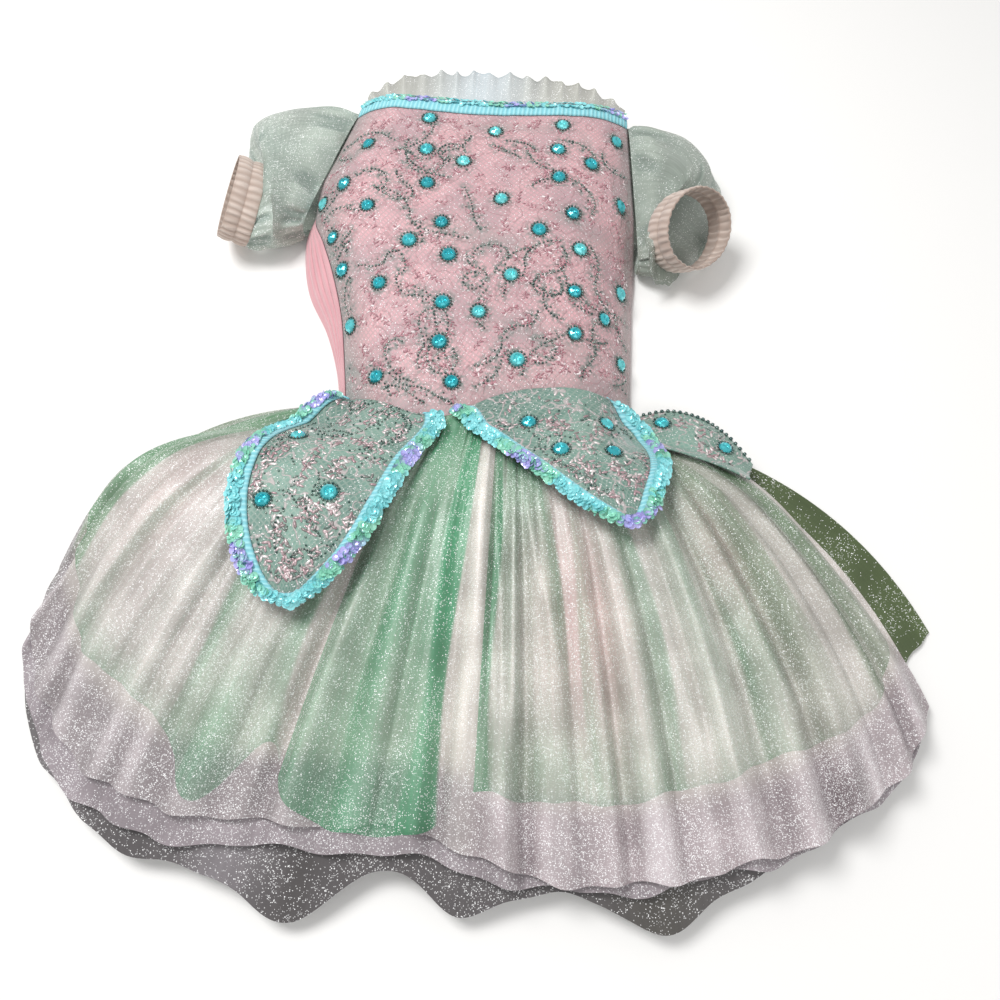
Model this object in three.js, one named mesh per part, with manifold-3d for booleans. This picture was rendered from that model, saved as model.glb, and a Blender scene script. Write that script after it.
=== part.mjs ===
// A child's fairy tutu costume, laid face up on a table. Millimetres.
// The origin is on the underside at the middle of the waist; +Y runs to the neck, +Z is up.
import * as THREE from 'three';
import { mergeVertices } from 'three/addons/utils/BufferGeometryUtils.js';
import Module from 'manifold-3d';

const wasm = await Module();
wasm.setup();

// Driving dimensions
const clothWall = 1.4;                    // stretch cloth, organza and net, as walls
const trimWall = 2.2;                     // sequin ribbon
const seamGap = 0.35;                     // between pieces that are sewn to each other
const layerStep = clothWall + seamGap;    // one cloth lying on the next
const looseStep = 3.4;                    // the same, where gathered skirts stand apart
const bodiceLength = 258;                 // waist to shoulder
const backNeck = 254;
const sideEdge = 3.1;                     // top of the front where it meets the back at the side
const sideRoll = 3;                       // radius of the bodice back's rolled side
const armholeRise = 16;                   // the front's edge stands this far up at the armholes
const gemRadius = 6;                      // sequin cup with its ring of beads
const gemHeight = 2.4;
const cuffWall = 1.6;
const cuffGathers = 20;
const sleeveGathers = 9;
const gatherHeight = 1.4;                 // of a sleeve's gathers beside its armhole and its cuff
const ruffleWaves = 15;

const finishes = {
  pinkStretch: { color: 0xe9b9bd, roughness: 0.7 },
  beadedLace: { color: 0xc9a5ae, roughness: 0.6 },
  sequinRibbon: { color: 0x62cfdc, roughness: 0.3, metalness: 0.3 },
  ivoryOrganza: { color: 0xdcd6cf, roughness: 0.5 },
  mintOrganza: { color: 0x86b694, roughness: 0.5 },
  sageOrganza: { color: 0xaebbae, roughness: 0.5 },
  peachElastic: { color: 0xebc6bc, roughness: 0.8 },
  sageLace: { color: 0x8fa7a2, roughness: 0.6 },
  pinkNet: { color: 0xc9b6bb, roughness: 0.7 },
  smokeNet: { color: 0x77747a, roughness: 0.7 },
};

// A table read smoothly at any place; the first column is the place
function table(columns, rows) {
  const names = columns.split(' ').slice(1);
  const places = rows.map((row) => row[0]);
  const reader = new THREE.CubicInterpolant(places, rows.flatMap((row) => row.slice(1)), names.length);
  return (place) => {
    const inside = THREE.MathUtils.clamp(place, places[0], places[places.length - 1]);
    const values = reader.evaluate(inside);
    return Object.fromEntries(names.map((name, index) => [name, values[index]]));
  };
}

const mix = THREE.MathUtils.lerp;
const ease = (value) => THREE.MathUtils.smoothstep(value, 0, 1);
const steps = (count) => Array.from({ length: count + 1 }, (_, index) => index / count);
const point = (x, y, z) => new THREE.Vector3(x, y, z);
const lowered = (place, depth) => place.clone().setZ(place.z - depth);

// Height across a flattened tube of cloth, 0 at its two side folds and 1 over most of its width
const puff = (across) => 1 - (1 - Math.sin(Math.PI * THREE.MathUtils.clamp(across, 0, 1))) ** 3;

// One closed wall between two grids of points, [column][row]; a wrapped wall is a tube
function wall(outer, inner, wrapped = false) {
  const columns = outer.length;
  const rows = outer[0].length;
  const corner = (side, column, row) => (side * columns + (column % columns)) * rows + row;
  const indices = [];
  const quad = (a, b, c, d) => indices.push(a, b, c, a, c, d);
  const cells = wrapped ? columns : columns - 1;
  for (let i = 0; i < cells; i += 1) {
    for (let j = 0; j < rows - 1; j += 1) {
      quad(corner(0, i, j), corner(0, i, j + 1), corner(0, i + 1, j + 1), corner(0, i + 1, j));
      quad(corner(1, i, j), corner(1, i + 1, j), corner(1, i + 1, j + 1), corner(1, i, j + 1));
    }
    const last = rows - 1;
    quad(corner(0, i, 0), corner(0, i + 1, 0), corner(1, i + 1, 0), corner(1, i, 0));
    quad(corner(0, i + 1, last), corner(0, i, last), corner(1, i, last), corner(1, i + 1, last));
  }
  for (let j = 0; j < rows - 1 && !wrapped; j += 1) {
    const last = columns - 1;
    quad(corner(0, 0, j + 1), corner(0, 0, j), corner(1, 0, j), corner(1, 0, j + 1));
    quad(corner(0, last, j), corner(0, last, j + 1), corner(1, last, j + 1), corner(1, last, j));
  }
  const corners = [...outer.flat(), ...inner.flat()];
  let volume = 0;
  for (let i = 0; i < indices.length; i += 3) {
    const [a, b, c] = [corners[indices[i]], corners[indices[i + 1]], corners[indices[i + 2]]];
    volume += a.dot(b.clone().cross(c));
  }
  if (volume < 0) {
    indices.reverse();
  }
  const geometry = new THREE.BufferGeometry().setFromPoints(corners);
  geometry.setIndex(indices);
  return geometry;
}

// A cloth that lies: its points are its top, and its underside is straight below
function laid(columnPlaces, rowPlaces, topAt, depth = clothWall) {
  const top = columnPlaces.map((u) => rowPlaces.map((v) => topAt(u, v)));
  return wall(top, top.map((column) => column.map((place) => lowered(place, depth))));
}

// Solids joined into one
function joined(geometries) {
  const solids = geometries.map((geometry) => {
    const bare = geometry.clone();
    bare.deleteAttribute('normal');
    bare.deleteAttribute('uv');
    const merged = mergeVertices(bare, 1e-4);
    return new wasm.Manifold(new wasm.Mesh({
      numProp: 3,
      vertProperties: Float32Array.from(merged.attributes.position.array),
      triVerts: Uint32Array.from(merged.index.array),
    }));
  });
  const whole = solids.reduce((sum, solid) => sum.add(solid)).getMesh();
  const geometry = new THREE.BufferGeometry();
  geometry.setAttribute('position', new THREE.BufferAttribute(whole.vertProperties, 3));
  geometry.setIndex(new THREE.BufferAttribute(whole.triVerts, 1));
  return geometry;
}

const costume = new THREE.Group();

function piece(name, geometry, finish) {
  geometry.computeVertexNormals();
  const mesh = new THREE.Mesh(geometry, new THREE.MeshStandardMaterial(finishes[finish]));
  mesh.name = name;
  costume.add(mesh);
}

// Bodice: `front` is where the laced front starts at the left side; the back wraps up to it
const bodice = table('y left front right crown', [
  [0, -90, -85, 102, 39],
  [30, -97, -90, 102, 41],
  [60, -108, -95, 102, 43],
  [90, -124, -104, 102, 44],
  [120, -132, -116, 103, 45],
  [145, -134, -127, 101.4, 45],
  [165, -129, -129, 99.9, 44],
  [200, -120.4, -120.4, 97.3, 42],
  [230, -113, -113, 95.1, 39],
  [258, -106, -106, 93, 36],
]);
const waistSeam = table('x y', [
  [-93, 10], [-60, -2], [-33, -12], [-13, -10], [20, 6], [68, 14], [102, 12],
]);
const backSeam = table('x y', [
  [-93, 10], [-84, 0], [-62, -9], [0, -10], [66, -9], [92, 0], [102, 12],
]);
const neckline = table('x y', [
  [-106, 260], [-85, 258], [-61, 254], [3, 252], [52, 256], [80, 261], [93, 264],
]);
const armholes = { left: 140, right: 120, fade: 42 };   // y where each armhole starts

function bodiceTop(x, y, rise = 1) {
  const { left, right, crown } = bodice(y);
  const across = (x - left) / (right - left);
  const leftRise = ease((y - armholes.left) / armholes.fade);
  const rightRise = ease((y - armholes.right) / armholes.fade);
  const edge = sideEdge + rise * armholeRise * mix(leftRise, rightRise, across);
  return edge + (crown - edge) * puff(across);
}

function frontAt(u, v) {
  const y = v * bodiceLength;
  const { front, right } = bodice(y);
  const x = mix(front, right, u);
  return point(x, mix(waistSeam(x).y, neckline(x).y, v), bodiceTop(x, y));
}

const frontColumns = steps(22);
const trimStart = 0.953;                  // the neck trim covers the front from here up
const frontRows = [0, 0.06, 0.14, 0.23, 0.32, 0.41, 0.5, 0.59, 0.68, 0.77, 0.86, trimStart, 1];

// Gems, from the neck down: across the front and up it
const bodiceGems = [
  [0.29, 0.915], [0.53, 0.88], [0.76, 0.905], [0.95, 0.87], [0.12, 0.79], [0.32, 0.79], [0.45, 0.76],
  [0.75, 0.8], [0.86, 0.75], [0.1, 0.64], [0.36, 0.67], [0.76, 0.69], [0.59, 0.62], [0.18, 0.55],
  [0.03, 0.61], [0.8, 0.56], [0.95, 0.62], [0.41, 0.55], [0.69, 0.5], [0.035, 0.46], [0.29, 0.47],
  [0.41, 0.45], [0.81, 0.44], [0.035, 0.35], [0.16, 0.32], [0.59, 0.36], [0.79, 0.3], [0.37, 0.31],
  [0.48, 0.27], [0.89, 0.24], [0.95, 0.36], [0.035, 0.2], [0.35, 0.2], [0.79, 0.17], [0.6, 0.1],
  [0.13, 0.07], [0.39, 0.09], [0.955, 0.14],
];

// A low six-sided dome, its foot sunk in the cloth
function gem(place) {
  const rim = steps(6).slice(0, 6).map((turn) => turn * 2 * Math.PI);
  const ring = (radius, z) => rim.map((turn) => point(
    place.x + radius * Math.cos(turn), place.y + radius * Math.sin(turn), place.z + z));
  const foot = ring(gemRadius, -0.5 * clothWall);
  const crown = ring(gemRadius * 0.62, gemHeight);
  const corners = [...foot, ...crown];
  const indices = [];
  for (let i = 0; i < 6; i += 1) {
    const next = (i + 1) % 6;
    indices.push(i, next, 6 + next, i, 6 + next, 6 + i);
  }
  for (let i = 1; i < 5; i += 1) {
    indices.push(0, i + 1, i, 6, 6 + i, 7 + i);
  }
  const geometry = new THREE.BufferGeometry().setFromPoints(corners);
  geometry.setIndex(indices);
  return geometry;
}

const laceFront = laid(frontColumns, frontRows, frontAt);
piece('bodice_front', joined([laceFront, ...bodiceGems.map(([u, v]) => gem(frontAt(u, v)))]), 'beadedLace');

// The back lies flat, rolls up at one side and ends against the front there
function bodiceBack() {
  const flatColumns = steps(7);
  const rollTurns = [30, 60, 90];
  const riseColumns = steps(5).slice(1);
  const outer = [];
  const inner = [];
  const addColumn = (outerAt, innerAt) => {
    outer.push(frontRows.map(outerAt));
    inner.push(frontRows.map(innerAt));
  };
  const backY = (x, v) => mix(backSeam(x).y, backNeck, v);
  const flatAt = (across, z) => (v) => {
    const { left, right } = bodice(v * bodiceLength);
    const x = mix(right, left + sideRoll, across);
    return point(x, backY(x, v), z);
  };
  flatColumns.forEach((across) => addColumn(flatAt(across, 0), flatAt(across, clothWall)));
  const rollAt = (turn, radius) => (v) => {
    const angle = THREE.MathUtils.degToRad(turn);
    const centre = bodice(v * bodiceLength).left + sideRoll;
    const y = backY(centre - sideRoll, v);
    return point(centre - radius * Math.sin(angle), y, sideRoll - radius * Math.cos(angle));
  };
  rollTurns.forEach((turn) => addColumn(rollAt(turn, sideRoll), rollAt(turn, sideRoll - clothWall)));
  const riseAt = (share, depth, gather) => (v) => {
    const y = v * bodiceLength;
    const { left, front } = bodice(y);
    const seam = Math.max(front - seamGap, left + 2.5);
    const x = mix(left, seam, share);
    const slope = bodiceTop(x + 0.5, y, 0) - bodiceTop(x - 0.5, y, 0);
    const size = Math.hypot(1, slope);
    const lift = gather * Math.min(1, (seam - left) / 20) - depth;
    const lean = share < 1 ? slope : 0;
    const along = mix(backY(left, v), frontAt(0, v).y, share) + (v ? 0 : 3 * seamGap);
    return point(x - (lift * lean) / size, along, bodiceTop(x, y, 0) + lift / Math.hypot(1, lean));
  };
  riseColumns.forEach((share, index) => {
    const gather = index % 2 && share < 1 ? 1.2 : 0;
    addColumn(riseAt(share, 0, gather), riseAt(share, clothWall, 0));
  });
  return wall(outer, inner);
}
piece('bodice_back', bodiceBack(), 'pinkStretch');

// Neck trim on the front's top cell, and the two halves of the ruffle
piece('neck_trim', laid(frontColumns, [trimStart, 1], (u, v) => {
  const place = frontAt(u, v);
  return point(place.x, place.y, place.z + seamGap + trimWall);
}, trimWall), 'sequinRibbon');

const ruffleDepth = table('x depth', [
  [-106, 2.5], [-90, 10], [-61, 20], [-7, 26], [52, 17], [80, 7], [93, 2.5],
]);
piece('neck_ruffle_front', laid(steps(4 * ruffleWaves), steps(2), (u, v) => {
  const x = mix(-104, 91, u);
  const wave = Math.sin(u * ruffleWaves * 2 * Math.PI);
  const start = neckline(x).y + seamGap;
  const rise = v * (3 + 2.4 * wave);
  return point(x, start + v * ruffleDepth(x).depth * (1 + 0.08 * wave), bodiceTop(x, bodiceLength) + rise);
}, 1.2), 'ivoryOrganza');

piece('neck_ruffle_back', laid(steps(36), steps(1), (u, v) => {
  const x = mix(-98, 86, u);
  const wave = v * (1 + Math.sin(u * 9 * 2 * Math.PI)) * 1.3;
  return point(x, backNeck + seamGap + v * 17 * Math.sin(Math.PI * (0.1 + 0.8 * u)), 1.3 + wave);
}, 1.2), 'ivoryOrganza');

// Loops round a sleeve or cuff: the middle, half the long way and the high way, the way it faces
// (turn, from +X) and how far it is tipped back (tilt), and how square it is
function loopAt(row, angle, extra = 0) {
  const turn = THREE.MathUtils.degToRad(row.turn);
  const tilt = THREE.MathUtils.degToRad(row.tilt);
  const facing = point(Math.cos(turn), Math.sin(turn), 0);
  const along = point(facing.y, -facing.x, 0);
  const up = point(-facing.x * Math.sin(tilt), -facing.y * Math.sin(tilt), Math.cos(tilt));
  const rounded = (value) => Math.sign(value) * Math.abs(value) ** (2 / row.square);
  return point(row.x, row.y, row.z)
    .addScaledVector(along, (row.long + extra) * rounded(Math.cos(angle)))
    .addScaledVector(up, (row.high + extra) * rounded(Math.sin(angle)));
}

const cuffs = {
  left: { x: -187, y: 156, z: 32, long: 32, high: 20, turn: 180, tilt: 30, width: 20, square: 2 },
  right: { x: 142, y: 143, z: 43, long: 29, high: 25, turn: -38, tilt: 50, width: 22, square: 2 },
};

function cuffLoop(cuff, share) {
  const turn = THREE.MathUtils.degToRad(cuff.turn);
  const tilt = THREE.MathUtils.degToRad(cuff.tilt);
  const back = (share - 1) * cuff.width;
  return {
    ...cuff,
    x: cuff.x + back * Math.cos(turn) * Math.cos(tilt),
    y: cuff.y + back * Math.sin(turn) * Math.cos(tilt),
    z: cuff.z + back * Math.sin(tilt),
  };
}

// Two rows of smocking: plump between the stitched lines, and a gather at every other column
function cuffWallBetween(cuff) {
  const turns = steps(2 * cuffGathers).slice(0, -1).map((turn) => turn * 2 * Math.PI);
  const rows = [
    { share: 0, plump: 0.2 }, { share: 0.25, plump: 1.8 }, { share: 0.5, plump: 0.4 },
    { share: 0.75, plump: 1.8 }, { share: 1, plump: 0.2 },
  ];
  const outer = turns.map((turn, index) => rows.map(({ share, plump }) => (
    loopAt(cuffLoop(cuff, share), turn, plump * (index % 2 ? 0.3 : 1)))));
  const inner = turns.map((turn) => rows.map(({ share }) => loopAt(cuffLoop(cuff, share), turn, -cuffWall)));
  return wall(outer, inner, true);
}

const sleeveLoops = {
  left: [
    [0, -121.8, 199, 11.5, 57, 10, 166, 0, 4],
    [1, -139, 194, 17, 61, 15.5, 174, 4, 3],
    [2, -158, 184, 21, 58, 19.5, 186, 14, 2.8],
    [3, -171, 173, 23, 50, 21, 196, 26, 2.6],
  ],
  right: [
    [0, 99.3, 192, 11.5, 64, 10, 4.3, 0, 4],
    [1, 114, 187, 17, 63, 15.5, 0, 6, 3],
    [2, 128, 176, 21.5, 59, 20, -12, 20, 2.7],
    [3, 136, 160, 24, 50, 22.5, -26, 38, 2.6],
  ],
};

// A hollow puff from the armhole to the cuff, gathered at both ends
function sleeve(side) {
  const cuff = cuffs[side];
  const end = cuffLoop(cuff, -seamGap / cuff.width);
  const rows = table('stage x y z long high turn tilt square', [
    ...sleeveLoops[side],
    [4, end.x, end.y, end.z, end.long - 0.3, end.high - 0.3, end.turn, end.tilt, end.square],
  ]);
  const turns = steps(4 * sleeveGathers).slice(0, -1).map((turn) => turn * 2 * Math.PI);
  const stages = [0, 0.7, 1.5, 2.3, 3, 3.6, 4];
  const at = (turn, stage) => {
    const gathered = gatherHeight * ease(Math.abs(stage - 2) - 0.5) * ease((4 - stage) * 3) * ease(stage * 3);
    return loopAt(rows(stage), turn, gathered * Math.cos(turn * sleeveGathers));
  };
  const outer = turns.map((turn) => stages.map((stage) => at(turn, stage)));
  const inner = turns.map((turn) => stages.map((stage) => {
    const around = at(turn + 0.02, stage).sub(at(turn - 0.02, stage));
    const onward = at(turn, Math.min(4, stage + 0.05)).sub(at(turn, Math.max(0, stage - 0.05)));
    const inward = around.cross(onward).normalize();
    const middle = point(rows(stage).x, rows(stage).y, rows(stage).z).sub(at(turn, stage));
    if (stage === 0 || stage === 4) {
      return at(turn, stage).addScaledVector(middle.normalize(), clothWall);
    }
    return at(turn, stage).addScaledVector(inward, Math.sign(inward.dot(middle)) * clothWall);
  }));
  return wall(outer, inner, true);
}

Object.keys(cuffs).forEach((side) => {
  piece(`sleeve_${side}`, sleeve(side), 'sageOrganza');
  piece(`cuff_${side}`, cuffWallBetween(cuffs[side]), 'peachElastic');
});

// Skirt: rays fan out from the waist to the hem; bow bends a ray away from a straight line
const skirtRays = table('place waistX hemX hemY bow', [
  [0, -92, -246, -112, 34],
  [1, -84, -242, -165, 28],
  [2, -73, -216, -210, 20],
  [3, -56, -174, -240, 12],
  [4, -36, -122, -250, 6],
  [5, -14, -62, -250, 2],
  [6, 6, -6, -250, 0],
  [7, 26, 46, -266, -1],
  [8, 44, 98, -268, -4],
  [9, 61, 150, -257, -9],
  [10, 76, 200, -239, -15],
  [11, 90, 246, -206, -22],
  [12, 101, 278, -162, -30],
]);
const lastPlace = 12;
const skirtSpan = table('y left right crown', [
  [-300, -250, 284, 18],
  [-220, -250, 284, 30],
  [-162, -250, 281, 41],
  [-112, -247, 252, 49],
  [-80, -243, 229, 52],
  [-50, -232, 208, 50],
  [-28, -204, 192, 47],
  [-12, -157, 176, 44],
  [-2, -124, 150, 42],
  [12, -93, 103, 40],
]);
const skirtFolds = [                      // across the skirt: how wide, how high at the hem
  { width: 26, height: 5 }, { width: 30, height: 7 }, { width: 24, height: 5 },
  { width: 28, height: 8 }, { width: 22, height: 5 }, { width: 26, height: 6 },
  { width: 24, height: 7 }, { width: 20, height: 5 }, { width: 24, height: 8 },
  { width: 22, height: 6 }, { width: 26, height: 7 }, { width: 20, height: 5 },
  { width: 22, height: 12 }, { width: 26, height: 7 }, { width: 22, height: 6 },
  { width: 24, height: 9 }, { width: 20, height: 5 }, { width: 26, height: 8 },
  { width: 24, height: 6 }, { width: 28, height: 9 }, { width: 22, height: 6 },
  { width: 26, height: 8 },
];
const skirtRows = [0, 0.05, 0.12, 0.22, 0.36, 0.54, 0.76, 1];   // shares of the way to the hem

const skirtEdge = 3 * layerStep - seamGap;   // the outer skirt's top at its side fold
const sideRise = 4.5;                        // least rise from there to the next column

function skirtBase(x, y) {
  const { left, right, crown } = skirtSpan(y);
  const spread = skirtEdge + (crown - skirtEdge) * puff((x - left) / (right - left));
  const seam = Math.max(skirtEdge, bodiceTop(THREE.MathUtils.clamp(x, -90, 102), 0));
  return mix(seam, spread, ease((waistSeam(x).y - y) / 65));
}

function rayAt(place, share, seam = waistSeam) {
  const { waistX, hemX, hemY, bow } = skirtRays(place);
  const start = new THREE.Vector2(waistX, seam(waistX).y - seamGap);
  const way = new THREE.Vector2(hemX, hemY).sub(start);
  const aside = new THREE.Vector2(way.y, -way.x).normalize().multiplyScalar(4 * bow * share * (1 - share));
  return start.addScaledVector(way, share).add(aside);
}

// The lattice that every skirt layer shares: an even column is a trough, an odd one a fold's ridge
const foldWidths = skirtFolds.reduce((sum, fold) => sum + fold.width, 0);
const lattice = [];
let reached = 0;
skirtFolds.forEach(({ width, height }) => {
  lattice.push({ place: (lastPlace * reached) / foldWidths, ridge: 0 });
  lattice.push({ place: (lastPlace * (reached + width / 2)) / foldWidths, ridge: height });
  reached += width;
});
lattice.push({ place: lastPlace, ridge: 0 });
lattice.forEach((column, index) => {
  const fromSide = Math.min(index, lattice.length - 1 - index);
  const least = skirtEdge + sideRise * Math.min(fromSide, 2.5);
  column.base = skirtRows.map((share) => {
    const { x, y } = rayAt(column.place, share);
    return point(x, y, fromSide ? Math.max(least, skirtBase(x, y)) : skirtEdge);
  });
});

// A point of the lattice at any share of the way down; past the hem it runs on straight
function onLattice(column, share, folded) {
  const above = Math.min(skirtRows.length - 2, skirtRows.filter((row) => row <= share).length - 1);
  const part = (share - skirtRows[above]) / (skirtRows[above + 1] - skirtRows[above]);
  const place = column.base[above].clone().lerp(column.base[above + 1], part);
  place.z += folded * column.ridge * ease(share / 0.8);
  return place;
}

// One gathered layer: how far it lies from the outer skirt at the waist (near) and below it (loose)
function skirtLayer({ columns, near, loose, folded, hem, lastRow = skirtRows.length - 1, edgeTop, least = 0 }) {
  const rows = steps(lastRow);
  const top = columns.map((column, index) => rows.map((_, row) => {
    const share = row === lastRow ? hem(column.place) : skirtRows[row];
    const place = onLattice(column, share, folded);
    place.z += mix(near, loose, ease(share / 0.2));
    const outermost = index === 0 || index === columns.length - 1;
    place.z = outermost && edgeTop ? edgeTop : Math.max(place.z, least);
    return place;
  }));
  return wall(top, top.map((column) => column.map((place) => lowered(place, clothWall))));
}

const netDrop = table('place drop', [
  [0, 0.02], [1, 0.05], [3, 0.06], [5, 0.05], [6, 0.05], [7, 0.02], [9, 0.01], [12, 0.01],
]);
const smokeDrop = table('place drop', [
  [0, 0.01], [1, 0.06], [3, 0.09], [4.2, 0.12], [5, 0.19], [5.6, 0.09], [6.4, 0.12], [7, 0.04],
  [7.8, 0.03], [8.4, 0.08], [9, 0.05], [10, 0], [12, -0.02],
]);
piece('skirt_organza_front', skirtLayer({
  columns: lattice, near: 0, loose: 0, folded: 1, hem: () => 1,
}), 'ivoryOrganza');
piece('skirt_net_front', skirtLayer({
  columns: lattice.slice(1, -1),
  near: -layerStep,
  loose: -looseStep,
  folded: 0.6,
  hem: (place) => 1 + netDrop(place).drop,
  edgeTop: skirtEdge + layerStep,
  least: skirtEdge + 3.7 * layerStep,
}), 'pinkNet');
piece('skirt_smoke_front', skirtLayer({
  columns: lattice.filter((_, index) => index % 2 === 0).slice(2, -2),
  near: -3.5 * layerStep,
  loose: -2 * looseStep,
  folded: 0,
  hem: (place) => 1 + smokeDrop(place).drop,
  edgeTop: skirtEdge + 2 * layerStep,
  least: skirtEdge + 2 * layerStep,
}), 'smokeNet');

// The backs lie flat on each other; the mint overskirt is the lowest and shows at one side
function skirtBack(level, inset, reach) {
  return laid(steps(16), steps(3), (u, v) => {
    const place = mix(inset, lastPlace - inset, u);
    const { x, y } = rayAt(place, v * reach, backSeam);
    return point(x, y, (level + 1) * layerStep - seamGap);
  });
}
piece('skirt_organza_back', skirtBack(1, 0, 0.985), 'ivoryOrganza');
piece('skirt_net_back', skirtBack(2, 0.3, 0.99), 'pinkNet');
piece('skirt_smoke_back', skirtBack(3, 0.6, 0.99), 'smokeNet');

const overskirtReach = table('place reach', [
  [0, 0.97], [2, 0.9], [5, 0.86], [8, 0.86], [10, 0.88], [11.2, 0.95], [12, 0.99],
]);
piece('overskirt_back', laid(steps(16), steps(4), (u, v) => {
  const place = u * lastPlace;
  const { x, y } = rayAt(place, v * overskirtReach(place).reach, backSeam);
  const fling = ease((place - 10.4) / 1.6) * v;
  return point(x + 8 * fling, y + 45 * fling, clothWall);
}), 'mintOrganza');

// Mint drapes on the outer skirt: where each lies across it, and how far down its hem hangs
const drapes = [
  { name: 'far_left', from: 0.5, to: 2.3, left: 0.5, middle: 0.48, right: 0.4, lastRow: 5 },
  { name: 'left', from: 3.3, to: 4.4, left: 0.8, middle: 0.98, right: 0.82, lastRow: 7 },
  { name: 'centre', from: 4.6, to: 6.4, left: 0.93, middle: 1.02, right: 0.9, lastRow: 7 },
  { name: 'middle_right', from: 6.6, to: 7.8, left: 0.76, middle: 0.7, right: 0.58, lastRow: 6 },
  { name: 'right', from: 8.6, to: 9.3, left: 0.84, middle: 0.86, right: 0.84, lastRow: 7 },
  { name: 'far_right', from: 9.6, to: 11.7, left: 0.82, middle: 0.86, right: 0.84, lastRow: 7 },
];
drapes.forEach(({ name, from, to, left, middle, right, lastRow }) => {
  const columns = lattice.filter((column) => column.place > from && column.place < to);
  const bulge = middle - (left + right) / 2;
  piece(`drape_${name}`, skirtLayer({
    columns,
    near: layerStep,
    loose: looseStep,
    folded: 1,
    lastRow,
    hem: (place) => {
      const across = (place - columns[0].place) / (columns.at(-1).place - columns[0].place);
      return mix(left, right, across) + 4 * bulge * across * (1 - across);
    },
  }), 'mintOrganza');
});

// Petals: both sides of each, from the waist seam to the tip; seat is how far its top edge
// stands off the drapes, and droop how much lower its right side lies
const petals = {
  petal_front_left: {
    sides: table('share leftX leftY rightX rightY', [
      [0, -91, 8, -19, -12],
      [0.15, -115, -14, -17, -22],
      [0.37, -127, -50, -29, -45],
      [0.6, -128, -85, -38, -75],
      [0.8, -119, -117, -52, -108],
      [0.94, -104, -137, -71, -133],
      [1, -91, -143, -80, -142],
    ]),
    gems: [[0.25, 0.3], [0.22, 0.62], [0.62, 0.6]],
    seat: 1,
    droop: 0,
    trimmed: true,
  },
  petal_front_right: {
    sides: table('share leftX leftY rightX rightY', [
      [0, -14, -11.5, 94, 12],
      [0.2, 8, -27, 112, -4],
      [0.4, 24, -41, 118, -20],
      [0.6, 41, -54, 118, -42],
      [0.8, 63, -71, 113, -62],
      [0.93, 82, -82, 108, -77],
      [1, 92, -86, 101, -85],
    ]),
    gems: [[0.3, 0.16], [0.72, 0.2], [0.62, 0.5], [0.3, 0.45]],
    seat: 1.9,
    droop: 0,
    trimmed: true,
  },
  petal_side_right: {
    sides: table('share leftX leftY rightX rightY', [
      [0, 104, 4, 105, 12],
      [0.25, 122, 0, 127, 18],
      [0.5, 140, -8, 148, 14],
      [0.75, 156, -20, 164, 2],
      [1, 172, -34, 179, -18],
    ]),
    gems: [[0.55, 0.25], [0.6, 0.76]],
    seat: 1.9,
    droop: 9,
    trimmed: false,
  },
};
const petalWall = 1.6;
const petalRise = { loose: 3.2, spread: 11, bulge: 3.5 };   // clear of the drapes, and its fullness
const petalRows = [0, 0.12, 0.27, 0.42, 0.57, 0.72, 0.86, 1];

function petalTop(x, y, u, v, { droop, seat }) {
  const away = waistSeam(x).y - y;
  const loose = mix(seat, petalRise.loose, ease(away / 14)) + petalRise.spread * ease(away / 110);
  const skirt = Math.max(skirtBase(x, y), skirtEdge + 2.5 * sideRise);
  const bulge = petalRise.bulge * Math.sin(Math.PI * u) * Math.sin(Math.PI * v);
  return skirt + 2 * layerStep + loose + bulge - droop * u;
}

function petalAt(petal, u, v) {
  const { leftX, leftY, rightX, rightY } = petal.sides(v);
  const x = mix(leftX, rightX, u);
  const y = mix(leftY, rightY, u);
  const seamY = waistSeam(x).y - seamGap;
  const held = v === 0 && !petal.droop ? Math.min(y, seamY) : y;
  return point(x, held, petalTop(x, held, u, v, petal));
}

// Sequin ribbon down one side of a petal, round its tip and up the other
function petalTrim(petal) {
  const ribbon = 11;
  const trimRest = 1.25;
  const down = petalRows.slice(0, -1);
  const tip = down.at(-1);
  const path = [];
  const reach = (v) => {
    const { leftX, leftY, rightX, rightY } = petal.sides(v);
    return Math.min(0.3, ribbon / Math.hypot(rightX - leftX, rightY - leftY));
  };
  down.forEach((v) => path.push([0, v, reach(v), v]));
  steps(6).forEach((u) => path.push([u, 1, mix(reach(tip), 1 - reach(tip), u), tip]));
  down.toReversed().forEach((v) => path.push([1, v, 1 - reach(v), v]));
  const top = path.map(([outerU, outerV, innerU, innerV]) => steps(1).map((across) => {
    const u = mix(outerU, innerU, across);
    const v = mix(outerV, innerV, across);
    const place = petalAt(petal, u, v);
    return point(place.x, place.y, place.z + trimRest + trimWall);
  }));
  return wall(top, top.map((column) => column.map((place) => lowered(place, trimWall))));
}

Object.entries(petals).forEach(([name, petal]) => {
  const cloth = laid(steps(10), petalRows, (u, v) => petalAt(petal, u, v), petalWall);
  const gems = petal.gems.map(([u, v]) => gem(petalAt(petal, u, v)));
  piece(name, joined([cloth, ...gems]), 'sageLace');
  if (petal.trimmed) {
    piece(name.replace('petal', 'petal_trim'), petalTrim(petal), 'sequinRibbon');
  }
});

export default costume;
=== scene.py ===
# A child's fairy tutu costume lying on a pale table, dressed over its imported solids
from functools import partial

import bpy
import numpy as np
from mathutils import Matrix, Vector
from numpy import clip, cos, pi, sin


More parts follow.
